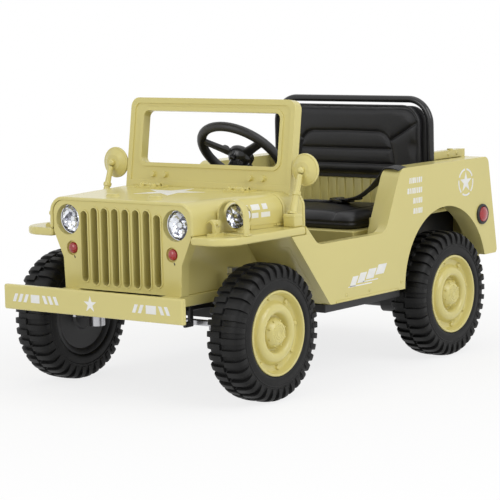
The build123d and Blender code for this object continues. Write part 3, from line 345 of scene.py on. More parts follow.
def soften(node, width, segments=3, angle=32.0):
    """Copy of a CAD node with rounded edges, standing for the node."""
    mesh = NODES[node].data.copy()
    bm = bmesh.new()
    bm.from_mesh(mesh)
    bmesh.ops.remove_doubles(bm, verts=bm.verts, dist=2e-6)
    bmesh.ops.dissolve_limit(bm, angle_limit=radians(1.5), verts=bm.verts, edges=bm.edges)
    limit = radians(angle)
    sharp = [e for e in bm.edges if len(e.link_faces) == 2 and e.calc_face_angle(0.0) > limit]
    bmesh.ops.bevel(bm, geom=sharp, offset=width, offset_type="OFFSET", segments=segments, profile=0.5,
                    affect="EDGES", clamp_overlap=True, miter_outer="ARC", miter_inner="ARC")
    bmesh.ops.remove_doubles(bm, verts=bm.verts, dist=2e-6)
    bm.to_mesh(mesh)
    bm.free()
    made = finish_mesh(f"{node}_moulding", mesh, SLOT_MATERIAL[NODE_SLOT[node]], "body", 40.0)
    weighted = made.modifiers.new("weighted", "WEIGHTED_NORMAL")
    weighted.keep_sharp = True
    weighted.weight = 90
    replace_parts(made, node)


def turned(degrees, axis):
    return Matrix.Rotation(radians(degrees), 3, axis)


def smooth(low, high, value):
    t = min(1.0, max(0.0, (value - low) / (high - low)))
    return t * t * (3 - 2 * t)


def spline(points, steps=8):
    """Smooth line through points, which may hold more than three numbers."""
    out = []
    for i in range(len(points) - 1):
        a = points[max(i - 1, 0)]
        b, c = points[i], points[i + 1]
        d = points[min(i + 2, len(points) - 1)]
        for s in range(steps):
            t = s / steps
            out.append(tuple(
                0.5 * (2 * q + (r - p) * t + (2 * p - 5 * q + 4 * r - w) * t * t + (3 * q - p - 3 * r + w) * t ** 3)
                for p, q, r, w in zip(a, b, c, d)))
    out.append(tuple(points[-1]))
    return out


# Body mouldings: the CAD solids with rounded edges
SOFT_EDGES = {
    "side_panel_left": 0.005, "side_panel_right": 0.005, "rear_panel": 0.004, "fender_left": 0.005,
    "fender_right": 0.005, "bonnet": 0.0035, "bumper": 0.002, "grille_panel": 0.0011, "cowl": 0.003,
    "windscreen_frame": 0.0013, "frame_rails": 0.002, "engine_bay": 0.0015, "inner_tub": 0.0025, "seat_box": 0.003,
    "back_panel": 0.0012, "hoop_braces": 0.002, "dashboard": 0.002, "firewall": 0.0015, "arch_liners": 0.002,
    "chassis_pan": 0.0025, "tow_hooks": 0.002, "pedal": 0.002, "battery": 0.003, "gearboxes": 0.003,
    "bonnet_hinges": 0.001, "bonnet_latches": 0.0012, "lamp_guard": 0.0012,
}
for node_name, width in SOFT_EDGES.items():
    soften(node_name, width)
# The plank's face sits back a little, so that the marks on it stay inside the CAD box.
for v in bpy.data.objects["bumper_moulding"].data.vertices:
    v.co.y = max(v.co.y, PLANK_Y * 0.001)


# Wheels

LUGS = 36
TREAD = (-0.5, -0.4, -0.3, -0.265, -0.235, -0.2, -0.1, 0, 0.1, 0.2, 0.235, 0.265, 0.3, 0.4)     # shares of a pitch
LUG_EDGE = (0.235, 0.265)
LUG_DEPTH = 6.6
TYRE_HALF = 44.9
# Half of the tyre's section, from the outer bead to the middle of the tread: (along the axle, radius, lug share)
CARCASS = (
    (38.5, 92.6, 0), (42, 94.4, 0), (43.8, 98, 0), (44, 103, 0), (43.3, 109, 0),
    (42.7, 113.2, 0), (43.3, 113.9, 0), (43.8, 115, 0), (43.3, 116.1, 0), (42.6, 116.8, 0),
    (42.5, 119.4, 0), (42.4, 120.2, 0.25), (42, 124, 0.36), (41, 129, 0.55), (39, 134, 0.82),
    (36, 138, 1), (32, 140.6, 1), (26, 142.2, 1), (18, 143, 1), (9, 143.3, 1),
    (2.4, 143.3, 1), (1.7, 143.3, 1), (1.1, 143.6, 0.1), (0, 145, 0),
)


def make_tyre(axle_name, side_name, side):
    """Tyre as rings of points, with lugs raised along each ring's own outward direction."""
    centre = Vector((side * WHEEL_X, AXLE_Y[axle_name], TYRE_R))
    section = [(a, r, s, 0) for a, r, s in CARCASS] + [(-a, r, s, 0.5) for a, r, s in reversed(CARCASS[:-1])]
    rings = []
    for row, (along, radius, share, phase) in enumerate(section):
        before = section[max(row - 1, 0)]
        after = section[min(row + 1, len(section) - 1)]
        out = Vector((after[1] - before[1], before[0] - after[0])).normalized()
        ring = []
        for index in range(LUGS):
            for offset in TREAD:
                turn = 2 * pi * (index + offset) / LUGS - pi / 2
                place = abs((offset + phase + 0.5) % 1 - 0.5)
                lift = LUG_DEPTH * share * (1 - smooth(*LUG_EDGE, place))
                a = max(-TYRE_HALF, min(TYRE_HALF, along + out.x * lift))
                r = min(radius + out.y * lift, TYRE_R - 0.05)
                ring.append(centre + Vector((side * a, r * cos(turn), r * sin(turn))))
        rings.append(ring)
    rings.append(rings[0])
    made = Build().rows(rings, closed_ends=False).done(
        f"tyre_tread_{axle_name}_{side_name}", TYRE, f"wheel_{axle_name}_{side_name}", 40)
    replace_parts(made, f"tyre_{axle_name}_{side_name}")


# Wheel disc: (radius, depth behind the wheel's outer face)
DISC = (
    (92.8, 4), (92.6, 2.6), (91.6, 1.9), (89.2, 1.9), (88.1, 2.6), (87, 5), (84.6, 13), (83.3, 16.8),
    (82, 18.3), (80, 18.9), (72, 19.2), (70, 18.8), (68.3, 17.4), (66.4, 13.4), (64.4, 9.4), (61.6, 6.2),
    (57.5, 3.9), (53, 3.1), (49, 3.4), (45.6, 5.1), (43.4, 7.8), (41.8, 12), (40.8, 17), (40, 20),
    (38.8, 21.6), (36.6, 22.2), (34.6, 22), (33.4, 20.5), (32.6, 16.5), (31.8, 13.4), (30.4, 11.2), (27, 6.8),
    (23.5, 2.9), (21.6, 1.7), (19, 1.4), (18.5, 0.5), (17.3, 0.5), (16.8, 1.4), (13.6, 1.4), (13.1, 0.5),
    (11.9, 0.5), (11.4, 1.4), (8.6, 1.4), (8.1, 0.5), (6.9, 0.5), (6.4, 1.4), (3, 1.8), (0, 1.8),
)
DISC_R, DISC_SPLIT = 92.8, -60     # sand in front of the split, black behind it
DISC_BACK = ((0, -85), (30, -85), (34, -80), (50, -79), (78, -79), (84, -83.5), (91.5, -85), (DISC_R, -84))
LUMP = ((0, -19.6), (5.6, -19.6), (5.4, -16.2), (4.2, -14.6), (0, -14))
BOLT = ((0, -11), (2.5, -11), (2.4, -6.4), (1.6, -4.9), (0, -4.5))
STUD = ((0, -3), (1.6, -3), (1.5, -0.9), (0.8, -0.4), (0, -0.3))


def make_rim(axle_name, side_name, side):
    hub = Vector((side * WHEEL_FACE_X, AXLE_Y[axle_name], TYRE_R))
    out = (side, 0, 0)
    body = f"wheel_{axle_name}_{side_name}"
    build = Build()
    build.lathe([(0, DISC_SPLIT), (DISC_R, DISC_SPLIT), *[(r, -d) for r, d in DISC]], hub, out, 112, (0, 0, 1))
    back = Build().lathe([*DISC_BACK, (DISC_R, DISC_SPLIT - 0.5), (0, DISC_SPLIT - 0.5)], hub, out, 112, (0, 0, 1))
    back.done(f"wheel_back_{axle_name}_{side_name}", BLACK, body, 30)
    for count, ring, start, shape in ((8, 77.5, 0.2, LUMP), (8, 28.2, 0.5, BOLT), (8, 20.2, 0.1, STUD)):
        for i in range(count):
            turn = 2 * pi * (i + start) / count
            build.lathe(shape, hub + Vector((0, ring * cos(turn), ring * sin(turn))), out, 14)
    made = build.done(f"wheel_disc_{axle_name}_{side_name}", SAND, body, 30)
    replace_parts(made, f"rim_{axle_name}_{side_name}")


for axle in AXLE_Y:
    for side_name, side in SIDES:
        make_tyre(axle, side_name, side)
        make_rim(axle, side_name, side)


# Lamps

NOSE = (0, -1, 0)


def dish(build, place, rows, sectors):
    """Faceted reflector facing the nose: rows of (radius, depth), every second ring turned half a facet."""
    rings = []
    for row, (radius, depth) in enumerate(rows):
        ring = []
        for i in range(sectors):
            turn = 2 * pi * (i + 0.5 * (row % 2)) / sectors
            ring.append(Vector(place) + Vector((radius * cos(turn), depth, radius * sin(turn))))
        rings.append(ring)
    build.rows(rings)


LAMP_X, LAMP_BACK_Y, LAMP_Z = 154.4, -453, 387
reflectors, rings, lenses = Build(), Build(), Build()
for side in (1, -1):
    lamp = (side * LAMP_X, LAMP_BACK_Y, LAMP_Z)
    dish(reflectors, lamp, ((33.8, -0.3), (33.8, -10.5), (31.5, -10.5), (26.5, -7.2), (20, -4.8), (13, -3),
                            (7, -2.2)), 20)
    rings.lathe(((31.6, 9), (31.8, 11.6), (32.8, 12.4), (33.8, 11.6), (33.9, 9), (31.6, 9)), lamp, NOSE, 56)
    rings.lathe(((7.4, 2), (7.2, 6), (5.6, 8.6), (0, 9.4)), lamp, NOSE, 24)
    lenses.lathe(((0, 9.8), (20, 9.8), (31.4, 9.6), (31.4, 11.2), (27, 12.9), (20, 14.3), (10, 15),
                  (0, 15.2)), lamp, NOSE, 56)
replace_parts(reflectors.done("headlamp_reflectors", REFLECTOR_PAINTED_REFLECTIONS, angle=4), "headlamp_bowls")
rings.done("headlamp_rings", CHROME)
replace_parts(lenses.done("headlamp_glass", LENS), "headlamp_lenses")

MARKER_X, MARKER_Z = 143.4, 324
domes, seats, notches = Build(), Build(), Build()
for side in (1, -1):
    spot = (side * MARKER_X, GRILLE_Y + 10, MARKER_Z)
    domes.lathe(((0, 0), (12.6, 0), (12.6, 5.5), (11.8, 8.4), (9.8, 11), (6.4, 12.8), (3, 13.5), (0, 13.7)),
                spot, NOSE, 40)
    seats.lathe(((12.7, 0), (12.7, 6.2), (13.6, 7), (14.6, 6.2), (15.9, 5), (15.9, 0), (12.7, 0)), spot, NOSE, 40)
    notches.block((side * MARKER_X + 7, GRILLE_Y - 0.1, MARKER_Z - 19), (2.6, 0.8, 6), 0.2, turned(-25, "Y"))
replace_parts(domes.done("marker_domes", RED), "marker_lamps")
seats.done("marker_seats", SAND)
notches.done("marker_notches", BLACK)

FLAMP = Vector((258, -386, 405))
shell, bowl, glass, stand = Build(), Build(), Build(), Build()
shell.lathe(((0, -26), (5, -25.7), (12, -23.2), (17.5, -18.6), (22, -12), (25.4, -3), (27.3, 5), (27.8, 8), (28.6, 8.6),
             (28.8, 13.6), (27.8, 14.8), (26.2, 14.6), (25.8, 12), (25.8, 8), (0, 7)), FLAMP, NOSE, 56)
dish(bowl, FLAMP, ((25.6, -8.2), (25.6, -13.6), (23, -12.6), (17, -10.8), (11, -9.6), (6, -9)), 18)
bowl.lathe(((5.6, 8.6), (5.4, 11.2), (3.6, 12.6), (0, 13)), FLAMP, NOSE, 20)
glass.lathe(((0, 13.9), (25.4, 13.9), (25.4, 15.4), (20, 17.8), (12, 19.4), (0, 20)), FLAMP, NOSE, 48)
foot = Vector((FLAMP.x, FLAMP.y, FENDER_Z))
stand.lathe(((0, -0.5), (14, -0.5), (14, 2.2), (12.6, 3.4), (9.4, 4), (8.6, 7), (8.4, 16), (0, 16)), foot,
            (0, 0, 1), 32)
stand.block((FLAMP.x, -410, FENDER_Z + 1.6), (84, 22, 3.6), 1.2)
for shift in (-33, 33):
    stand.screw((FLAMP.x + shift, -424, FENDER_Z + 0.6), (0, 0, 1), 3.4, 2)
lamp_shell = shell.done("fender_lamp_shell", CHROME)
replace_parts(lamp_shell, "fender_lamp")
bowl.done("fender_lamp_reflector", REFLECTOR_PAINTED_REFLECTIONS, angle=4)
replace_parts(glass.done("fender_lamp_glass", LENS), "fender_lamp_lens")
stand.done("fender_lamp_stand", SAND)

SLAMP_Y, SLAMP_Z = 516, 325
side_domes, side_bezels = Build(), Build()
for side in (1, -1):
    spot, out = (side * BODY_HALF, SLAMP_Y, SLAMP_Z), (side, 0, 0)
    side_domes.lathe(((0, 0), (18.6, 0), (18.6, 4), (17.6, 6.2), (16.4, 6.6), (15.6, 6.2), (13, 8), (8, 9.5), (0, 10)),
                     spot, out, 48)
    side_bezels.lathe(((18.9, -0.5), (18.9, 5), (20.2, 6), (22.6, 5.6), (24.6, 3.6), (25, -0.5), (18.9, -0.5)),
                      spot, out, 48)
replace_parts(side_domes.done("side_lamp_domes", RED), "side_lamps")
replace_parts(side_bezels.done("side_lamp_rims", BLACK), "side_lamp_bezels")


# Mirrors: bracket, two-section stalk with a collar, ball and stepped head
HEAD = (
    (0, -0.2), (35.5, -0.2), (36, 0.8), (36, 4.2), (35.2, 5.6), (33.8, 6.4), (32.6, 6), (31.6, 7), (26.6, 10.6),
    (20, 13.6), (18.6, 14.9), (17.2, 15), (10, 16.2), (0, 16.8),
)
MIRROR_X, BRACKET_Y, BRACKET_Z, MIRROR_Z, GLASS_Y = 276, -223, 380.5, 487, -171
mirrors = Build()
for side in (1, -1):
    base = Vector((side * MIRROR_X, BRACKET_Y, BRACKET_Z))
    mirrors.block(base, (32, 30, 29), 3, segments=3)
    mirrors.block(base + Vector((0, 0, 8)), (33, 31, 3), 1)
    root = base + Vector((0, 1, 13.5))
    ball = Vector((base.x, GLASS_Y - 20, MIRROR_Z))
    mirrors.lathe(((0, -1), (12, -1), (12, 3), (10.4, 4.4), (8.6, 5.2), (8, 8), (7.2, 41), (9.4, 42), (9.6, 45),
                   (9.6, 49), (8.6, 50.4), (6.8, 51), (6.2, 84), (6.2, 88)), root, ball - root, 28)
    mirrors.lathe(((0, -8), (4, -7), (7, -4), (8, 0), (7, 4), (4, 7), (0, 8)), ball, (0, 1, 0), 24)
    mirrors.lathe(((0, -4), (6.6, -4), (7.4, 6), (0, 6)), ball, (0, 1, 0), 24)
    mirrors.lathe(HEAD, (base.x, GLASS_Y, MIRROR_Z), NOSE, 64)
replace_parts(mirrors.done("mirror_mouldings", SAND, angle=34), "mirrors")


# Small fittings on bonnet, fenders, hoop braces and sills
HINGE_X, PIN_Y, LATCH_X, LATCH_Y, BRACE_X, BRACE_Z = 128, -223, 233, -438, 234, 473
fittings, wires = Build(), Build()
for side in (1, -1):
    hinge_x = side * HINGE_X
    for shift in (-18, 18):
        fittings.screw((hinge_x + shift, PIN_Y - 13, BONNET_Z + 9), (0, 0, 1), 4.2, 1.8)
    for shift in (-27, -9, 9, 27):
        fittings.lathe(((4.8, -1.6), (6, -1.6), (6, 1.6), (4.8, 1.6)), (hinge_x + shift, PIN_Y, BONNET_Z + 5),
                       (1, 0, 0), 24)
    latch = Vector((side * LATCH_X, LATCH_Y, FENDER_Z))
    for shift in (-6.5, 6.5):
        wires.tube(spline([latch + Vector((-side * 22, shift, 24)), latch + Vector((-side * 12, shift, 31)),
                           latch + Vector((0, shift, 29)), latch + Vector((side * 5, shift, 14)),
                           latch + Vector((side * 3, shift, 4))], 5), 1.5, 8)
    fittings.screw(latch + Vector((side * 8, -12, 5)), (0, 0, 1), 3, 1.6)
    fittings.screw(latch + Vector((side * 8, 12, 5)), (0, 0, 1), 3, 1.6)
    for y in (470, 508):
        fittings.screw((side * BRACE_X, y, BRACE_Z), (side, 0, 0), 4, 2)
    for y, z in ((160, 200), (-60, 196), (30, 196)):
        fittings.screw((side * BODY_HALF, y, z), (side, 0, 0), 3.4, 1.8)
    fittings.block((side * (BODY_HALF + 0.4), 24, 185), (3, 250, 5), 1.2)
fittings.done("body_screws", SAND)
wires.done("latch_wires", SAND)


# Tail: tailgate outline, ribs, hinges and screws, guessed because the photo hides the back, and the deck's rear ledge
TAIL_SPOT, TAIL_OUT = Vector((0, 566.934, 340)), Vector((0, 0.988089, 0.153883))
TAIL_UP = Vector((0, -0.153883, 0.988089))
LEDGE_Y, LEDGE_Z = 533, 334.8
TAIL_TURN = Matrix((Vector((1, 0, 0)), TAIL_OUT, TAIL_UP)).transposed()


def on_tail(x, rise, lift):
    return TAIL_SPOT + Vector((x, 0, 0)) + TAIL_UP * rise + TAIL_OUT * lift


tail = Build()
for x, rise, wide, tall in ((0, 88, 356, 7), (0, -62, 356, 7), (-178, 13, 7, 157), (178, 13, 7, 157)):
    tail.block(on_tail(x, rise, 0.4), (wide, 4.4, tall), 1.4, TAIL_TURN)
for rise in (52, 13, -26):
    tail.block(on_tail(0, rise, 0), (300, 5, 13), 2.4, TAIL_TURN, 3)
for x in (-120, 120):
    tail.lathe(((0, -20), (4.4, -20), (5, -19), (5, 19), (4.4, 20), (0, 20)), on_tail(x, -66, 0.4), (1, 0, 0), 20)
for x, rise in ((-196, 96), (196, 96), (-196, -50), (196, -50)):
    tail.screw(on_tail(x, rise, 0), TAIL_OUT, 4.2, 2.2)
tail.block((0, LEDGE_Y, LEDGE_Z), (490, 25, 7.6), 0.8)
tail.done("tail_mouldings", SAND)


# Black sheets in the rear wheel arches, on the tub's walls and under its lids: painted shade where these places fall in
# shadow
WELL_X, LID_X = 212, 229
tub_low, tub_high = (Vector(corner) * 1000 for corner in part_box("inner_tub"))
well_y, well_long = (tub_low.y + tub_high.y) / 2 + 2, tub_high.y - tub_low.y - 8
shade_sheets = Build()
for side in (1, -1):
    shade_sheets.block((side * WELL_X, well_y, 268), (3, well_long, 136), 0.8)
    shade_sheets.block((side * LID_X, well_y, tub_high.z - 7), (34, well_long, 3), 0.8)
shade_sheets.done("arch_shade_sheets", BLACK)


# Bonnet sides, as a surface of (y, z) on either side
def bonnet_side(side, y, z, lift):
    (y0, half0), (y1, half1) = BONNET_ENDS
    slope = (half1 - half0) / (y1 - y0)
    half = half0 + (y - y0) * slope
    rise = z - (BONNET_Z - BONNET_R)
    if rise <= 0:
        x, normal = half, Vector((1, -slope, 0))
    else:
        inward = sqrt(max(0, BONNET_R ** 2 - rise ** 2))
        x, normal = half - BONNET_R + inward, Vector((inward, -slope * inward, rise))
    point = Vector((x, y, z)) + normal.normalized() * lift
    return Vector((side * point.x, point.y, point.z))


def bonnet_patch(build, side, y, z, lift, rows=5):
    """Thin pad that follows the bonnet's side between two limits along y and z."""
    rings = []
    for k in range(rows + 1):
        level = z[0] + (z[1] - z[0]) * k / rows
        rings.append([bonnet_side(side, y[0], level, -0.4), bonnet_side(side, y[1], level, -0.4),
                      bonnet_side(side, y[1], level, lift), bonnet_side(side, y[0], level, lift)])
    build.rows(rings)


recess = Build()
for side in (1, -1):
    for y, z, lift in (((-318, -222.5), (366.5, 368.2), 1.5), ((-318, -222.5), (375, 376.8), 1.5),
                       ((-319.5, -317), (366.5, 376.8), 1.5), ((-225, -222.5), (366.5, 376.8), 1.5),
                       ((-246, -228), (369.4, 374), 3.4), ((-252, -247), (370.4, 373), 2.2)):
        bonnet_patch(recess, side, y, z, lift, 2)
recess.done("bonnet_side_frames", SAND)


# White stencil marks, all generic: stars, bars and slanted stripes
MARK_SINK, MARK_THICK = 0.15, 0.45


def star(build, centre, u, v, radius, normal):
    sunk = Vector(centre) - Vector(normal) * MARK_SINK
    points = []
    for i in range(10):
        r = radius if i % 2 == 0 else radius * 0.382
        turn = pi / 2 + i * pi / 5
        points.append(sunk + Vector(u) * (r * cos(turn)) + Vector(v) * (r * sin(turn)))
    build.slab(points, normal, MARK_THICK)


def bar(build, centre, u, v, size, slant, normal):
    """Parallelogram: size along u and v, its top shifted by slant along u."""
    sunk, u, v = Vector(centre) - Vector(normal) * MARK_SINK, Vector(u), Vector(v)
    corners = ((-1, -1), (1, -1), (1, 1), (-1, 1))
    build.slab([sunk + u * (a * size[0] / 2 + b * slant / 2) + v * (b * size[1] / 2) for a, b in corners],
               normal, MARK_THICK)


STAR_Y, STAR_Z = 444, 409     # on the quarter
marks = Build()
star(marks, (-14, -292, BONNET_Z), (1, 0, 0), (0, 1, 0), 84, (0, 0, 1))
star(marks, (0, PLANK_Y, 221), (1, 0, 0), (0, 0, 1), 18.5, NOSE)
# On the plank: (middle, width, slant)
for x, width, slant in ((-220, 9, 8), (-204, 9, 8), (-188, 9, 8), (-161, 26, 0), (-132, 9, -8), (-116, 9, -8),
                        (-100, 9, -8), (127, 9, 8), (143, 9, 8), (171, 28, 0), (199, 9, -8), (215, 9, -8)):
    bar(marks, (x, PLANK_Y, 221.5), (1, 0, 0), (0, 0, 1), (width, 18), slant, NOSE)
for side in (1, -1):
    out, back, up = (side, 0, 0), (0, 1, 0), (0, 0, 1)
    for y, width, z in ((-30, 22, 224), (2, 26, 229), (38, 30, 234), (78, 34, 240)):
        bar(marks, (side * BODY_HALF, y, z), back, up, (width, 22), 14, out)
    for y, width, z in ((-6, 92, 213), (34, 60, 219)):
        bar(marks, (side * BODY_HALF, y, z), back, up, (width, 2.6), 1.6, out)
    star(marks, (side * BODY_HALF, STAR_Y, STAR_Z), back, up, 26, out)
    for arc in range(5):
        outline = []
        for radius, order in ((33.5, range(9)), (29, range(8, -1, -1))):
            for i in order:
                turn = pi / 2 + 2 * pi * (arc + 0.09 + 0.82 * i / 8) / 5
                outline.append(Vector((side * (BODY_HALF - MARK_SINK), STAR_Y + radius * cos(turn),
                                       STAR_Z + radius * sin(turn))))
        marks.slab(outline, out, MARK_THICK)
    for z, ticks in ((432, 7), (408, 8), (384, 5), (360, 5)):
        for i in range(ticks):
            width = 6.4 if i % 3 == 1 else 4.4
            bar(marks, (side * BODY_HALF, 250 - 8 * i, z), back, up, (width, 13), 1.5, out)
    for z, row in (((408, 420), (-338, -322, -314, -290, -282, -268)),
                   ((391, 402), (-332, -326, -316, -296, -288, -262))):
        for start, end in zip(row[::2], row[1::2]):
            bonnet_patch(marks, side, (start, end), z, 0.3)
marks.done("stencil_marks", DECAL, angle=25)


# Steering wheel: thick rim, three spokes, hub with knobs
TILT = radians(44.3)
AXIS = Vector((0, sin(TILT), cos(TILT)))
RISE = Vector((0, -cos(TILT), sin(TILT)))
ACROSS = Vector((1, 0, 0))
HUB = Vector((0, -48, 502))
RIM_R, RIM_TUBE = 101.8, 11


def on_wheel(angle, radius, height):
    return HUB + ACROSS * (radius * cos(angle)) + RISE * (radius * sin(angle)) + AXIS * height


wheel = Build()
wheel.tube([on_wheel(2 * pi * i / 96, RIM_R, 0) for i in range(96)], RIM_TUBE, 20, closed=True)
for degrees in (30, 150, 270):
    angle = radians(degrees)
    rings = []
    for share in (0, 0.2, 0.4, 0.6, 0.8, 1):
        radius = 20 + (RIM_R - 24) * share
        half, thick = 12.5 - 4.2 * share + 2 * share ** 4, 5.6 - 0.8 * share
        mid = on_wheel(angle, radius, -3.6 + 2.4 * share)
        along = ACROSS * -sin(angle) + RISE * cos(angle)
        ring = []
        for k in range(16):
            turn = 2 * pi * k / 16
            c, s = cos(turn), sin(turn)
            ring.append(mid + along * (half * abs(c) ** 0.6 * (1 if c > 0 else -1))
                        + AXIS * (thick * abs(s) ** 0.6 * (1 if s > 0 else -1)))
        rings.append(ring)
    wheel.rows(rings)
steer = wheel.done("steering_rim", BLACK, "steering", 40)
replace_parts(steer, "steering_wheel")
hub = Build()
hub.lathe(((0, -44), (15, -44), (17, -42), (18, -24), (24, -20), (27, -15), (30, -10), (31, -3), (31, 2), (29.6, 5),
           (26, 8.5), (24.6, 9.2), (23.6, 8.8), (14, 11.4), (0, 12.2)), HUB, AXIS, 56)
for i in range(3):
    angle = radians(90 + 120 * i)
    spot = on_wheel(angle, 23, -20)
    hub.lathe(((0, -10), (5.6, -10), (6.4, -8), (6.4, 4), (0, 6)), spot, AXIS, 20)
for x in (-36, 36):
    hub.lathe(((0, -4), (9.5, -4), (9.5, 4.5), (8.4, 6.2), (0, 6.8)), HUB + ACROSS * x + RISE * 20, AXIS, 28)
hub.done("steering_hub", GLOSS_BLACK, "steering", 34)


# Front springs as coils
SPRING_X, SPRING_R, SPRING_Z, SPRING_LONG = 200, 11.4, 220.4, 50.8
turns, steps = 7, 24
coils = Build()
for side in (1, -1):
    line = []
    for i in range(turns * steps + 1):
        turn = 2 * pi * i / steps
        flat = min(1, max(0, (i / steps - 0.5) / (turns - 1)))
        line.append((side * SPRING_X + SPRING_R * cos(turn), AXLE_Y["front"] + SPRING_R * sin(turn),
                     SPRING_Z + SPRING_LONG * flat))
    coils.tube(line, 2.2, 8)
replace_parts(coils.done("spring_coils", STEEL, angle=60), "front_springs")


# Dashboard: two dials, switches and a key
DIAL_X, DIAL_Z, DIAL_R = 92, 402, 27
dash, faces_build, dial_marks = Build(), Build(), Build()
for x in (-DIAL_X, DIAL_X):
    spot = (x, DASH_Y, DIAL_Z)
    dash.lathe(((DIAL_R - 3, -1), (DIAL_R - 3, 4), (DIAL_R - 1, 5.4), (DIAL_R + 1, 4.6), (DIAL_R + 1.6, -1),
                (DIAL_R - 3, -1)), spot, (0, 1, 0), 48)
    faces_build.lathe(((0, 0), (DIAL_R - 2.6, 0), (DIAL_R - 2.6, 1.6), (0, 1.6)), spot, (0, 1, 0), 48)
    for i in range(11):
        turn = radians(225 - 27 * i)
        mid = Vector((x - (DIAL_R - 6) * cos(turn), DASH_Y + 1.6, DIAL_Z + (DIAL_R - 6) * sin(turn)))
        dial_marks.block(mid, (1, 0.5, 4.4), 0, Matrix.Rotation(turn - pi / 2, 3, "Y"))
    dial_marks.block((x + 5, DASH_Y + 2, 407), (1.6, 0.8, 17), 0.2, turned(40, "Y"))
    dash.lathe(((0, 1), (3, 1), (3, 3), (0, 3.6)), spot, (0, 1, 0), 16)
for x in (-46, -28, 28, 46):
    dash.block((x, DASH_Y + 2, 412), (13, 8, 20), 1.4)
    dash.block((x, DASH_Y + 6, 415), (9, 4, 10), 1.2, turned(14, "X"))
dash.lathe(((0, -1), (11, -1), (11, 3), (9, 5), (5, 5.4), (0, 5.4)), (150, DASH_Y, 402), (0, 1, 0), 32)
dash.block((150, DASH_Y + 8, 402), (2.6, 8, 9), 0.6)
dash.done("dash_controls", BLACK)
faces_build.done("dial_faces", DIAL)
dial_marks.done("dial_marks", DECAL)
pads = Build()
for i in range(5):
    share = 0.14 + 0.18 * i
    pads.block((-45, -192 + 72 * share, 231 - 43 * share), (48, 5, 3.4), 1, turned(-31, "X"))
pads.done("pedal_ribs", BLACK)


# Soft parts: filled vinyl, swollen by a cloth run, then sewn

def bake(made):
    """Put the modifiers' result into the mesh."""
    graph = bpy.context.evaluated_depsgraph_get()
    mesh = bpy.data.meshes.new_from_object(made.evaluated_get(graph))
    made.modifiers.clear()
    old = made.data
    made.data = mesh
    bpy.data.meshes.remove(old)


def inflate(made, voxel, pressure, cap):
    """Swell a closed form as filled vinyl; no point moves further than the cap. All in metres."""
    remesh = made.modifiers.new("remesh", "REMESH")
    remesh.mode = "VOXEL"
    remesh.voxel_size = voxel
    bake(made)
    rest = [v.co.copy() for v in made.data.vertices]
    cloth = made.modifiers.new("cloth", "CLOTH")
    cloth.settings.use_pressure = True
    cloth.settings.uniform_pressure_force = pressure
    cloth.settings.effector_weights.gravity = 0
    scene = bpy.context.scene
    for step in range(1, 21):
        scene.frame_set(step)
    bake(made)
    scene.frame_set(1)
    for v, start in zip(made.data.vertices, rest):
        move = v.co - start
        if move.length > cap:
            v.co = start + move * (cap / move.length)
    bm = bmesh.new()
    bm.from_mesh(made.data)
    for _ in range(6):
        bmesh.ops.smooth_vert(bm, verts=bm.verts, factor=0.5, use_axis_x=True, use_axis_y=True, use_axis_z=True)
    bm.to_mesh(made.data)
    bm.free()
    made.modifiers.new("finer", "SUBSURF").levels = 1
    bake(made)


def line_distance(lines, a, b):
    """Distances in a plane from points to the nearest of several open lines."""
    best = np.full(len(a), 1e12)
    for line in lines:
        for (a0, b0), (a1, b1) in zip(line, line[1:]):
            da, db = a1 - a0, b1 - b0
            t = np.clip(((a - a0) * da + (b - b0) * db) / (da * da + db * db), 0, 1)
            best = np.minimum(best, (a - a0 - t * da) ** 2 + (b - b0 - t * db) ** 2)
    return np.sqrt(best)


def groove(lines, a, b, width):
    """Share of a sewn groove's depth at points, from the nearest of several lines."""
    return np.exp(-(line_distance(lines, a, b) / width) ** 2)


def ease(low, high, values):
    t = np.clip((values - low) / (high - low), 0, 1)
    return t * t * (3 - 2 * t)


def read_points(made):
    """Points in millimetres and their normals, as columns."""
    count = len(made.data.vertices)
    points, normals = np.empty(3 * count), np.empty(3 * count)
    made.data.vertices.foreach_get("co", points)
    made.data.vertex_normals.foreach_get("vector", normals)
    return points.reshape(-1, 3) * 1000, normals.reshape(-1, 3)


def write_points(made, points):
    made.data.vertices.foreach_set("co", (points * 0.001).ravel())
    made.data.update()
    made.data.shade_smooth()


def arch(half, top, radius, low, steps=8):
    """Outline of an inverted U in (x, z), from the left foot over the top to the right foot."""
    points = [(-half, low)]
    for centre, start in ((-(half - radius), pi), (half - radius, pi / 2)):
        for i in range(steps + 1):
            turn = start - (pi / 2) * i / steps
            points.append((centre + radius * cos(turn), top - radius + radius * sin(turn)))
    points.append((half, low))
    return points


def rounded_slab(outline, place, layers):
    """Closed form from an outline of (a, b), shrunk a little at each end: layers of (inset, height)."""
    mid_a, mid_b = (sum(p[k] for p in outline) / len(outline) for k in (0, 1))
    reach_b = max(abs(p[1] - mid_b) for p in outline)
    reach_a = max(reach_b, max(abs(p[0] - mid_a) for p in outline))
    rings = []
    for inset, height in layers:
        k_a, k_b = 1 - inset / reach_a, 1 - inset / reach_b
        rings.append([place(mid_a + (a - mid_a) * k_a, mid_b + (b - mid_b) * k_b, height) for a, b in outline])
    return Build().rows(rings)


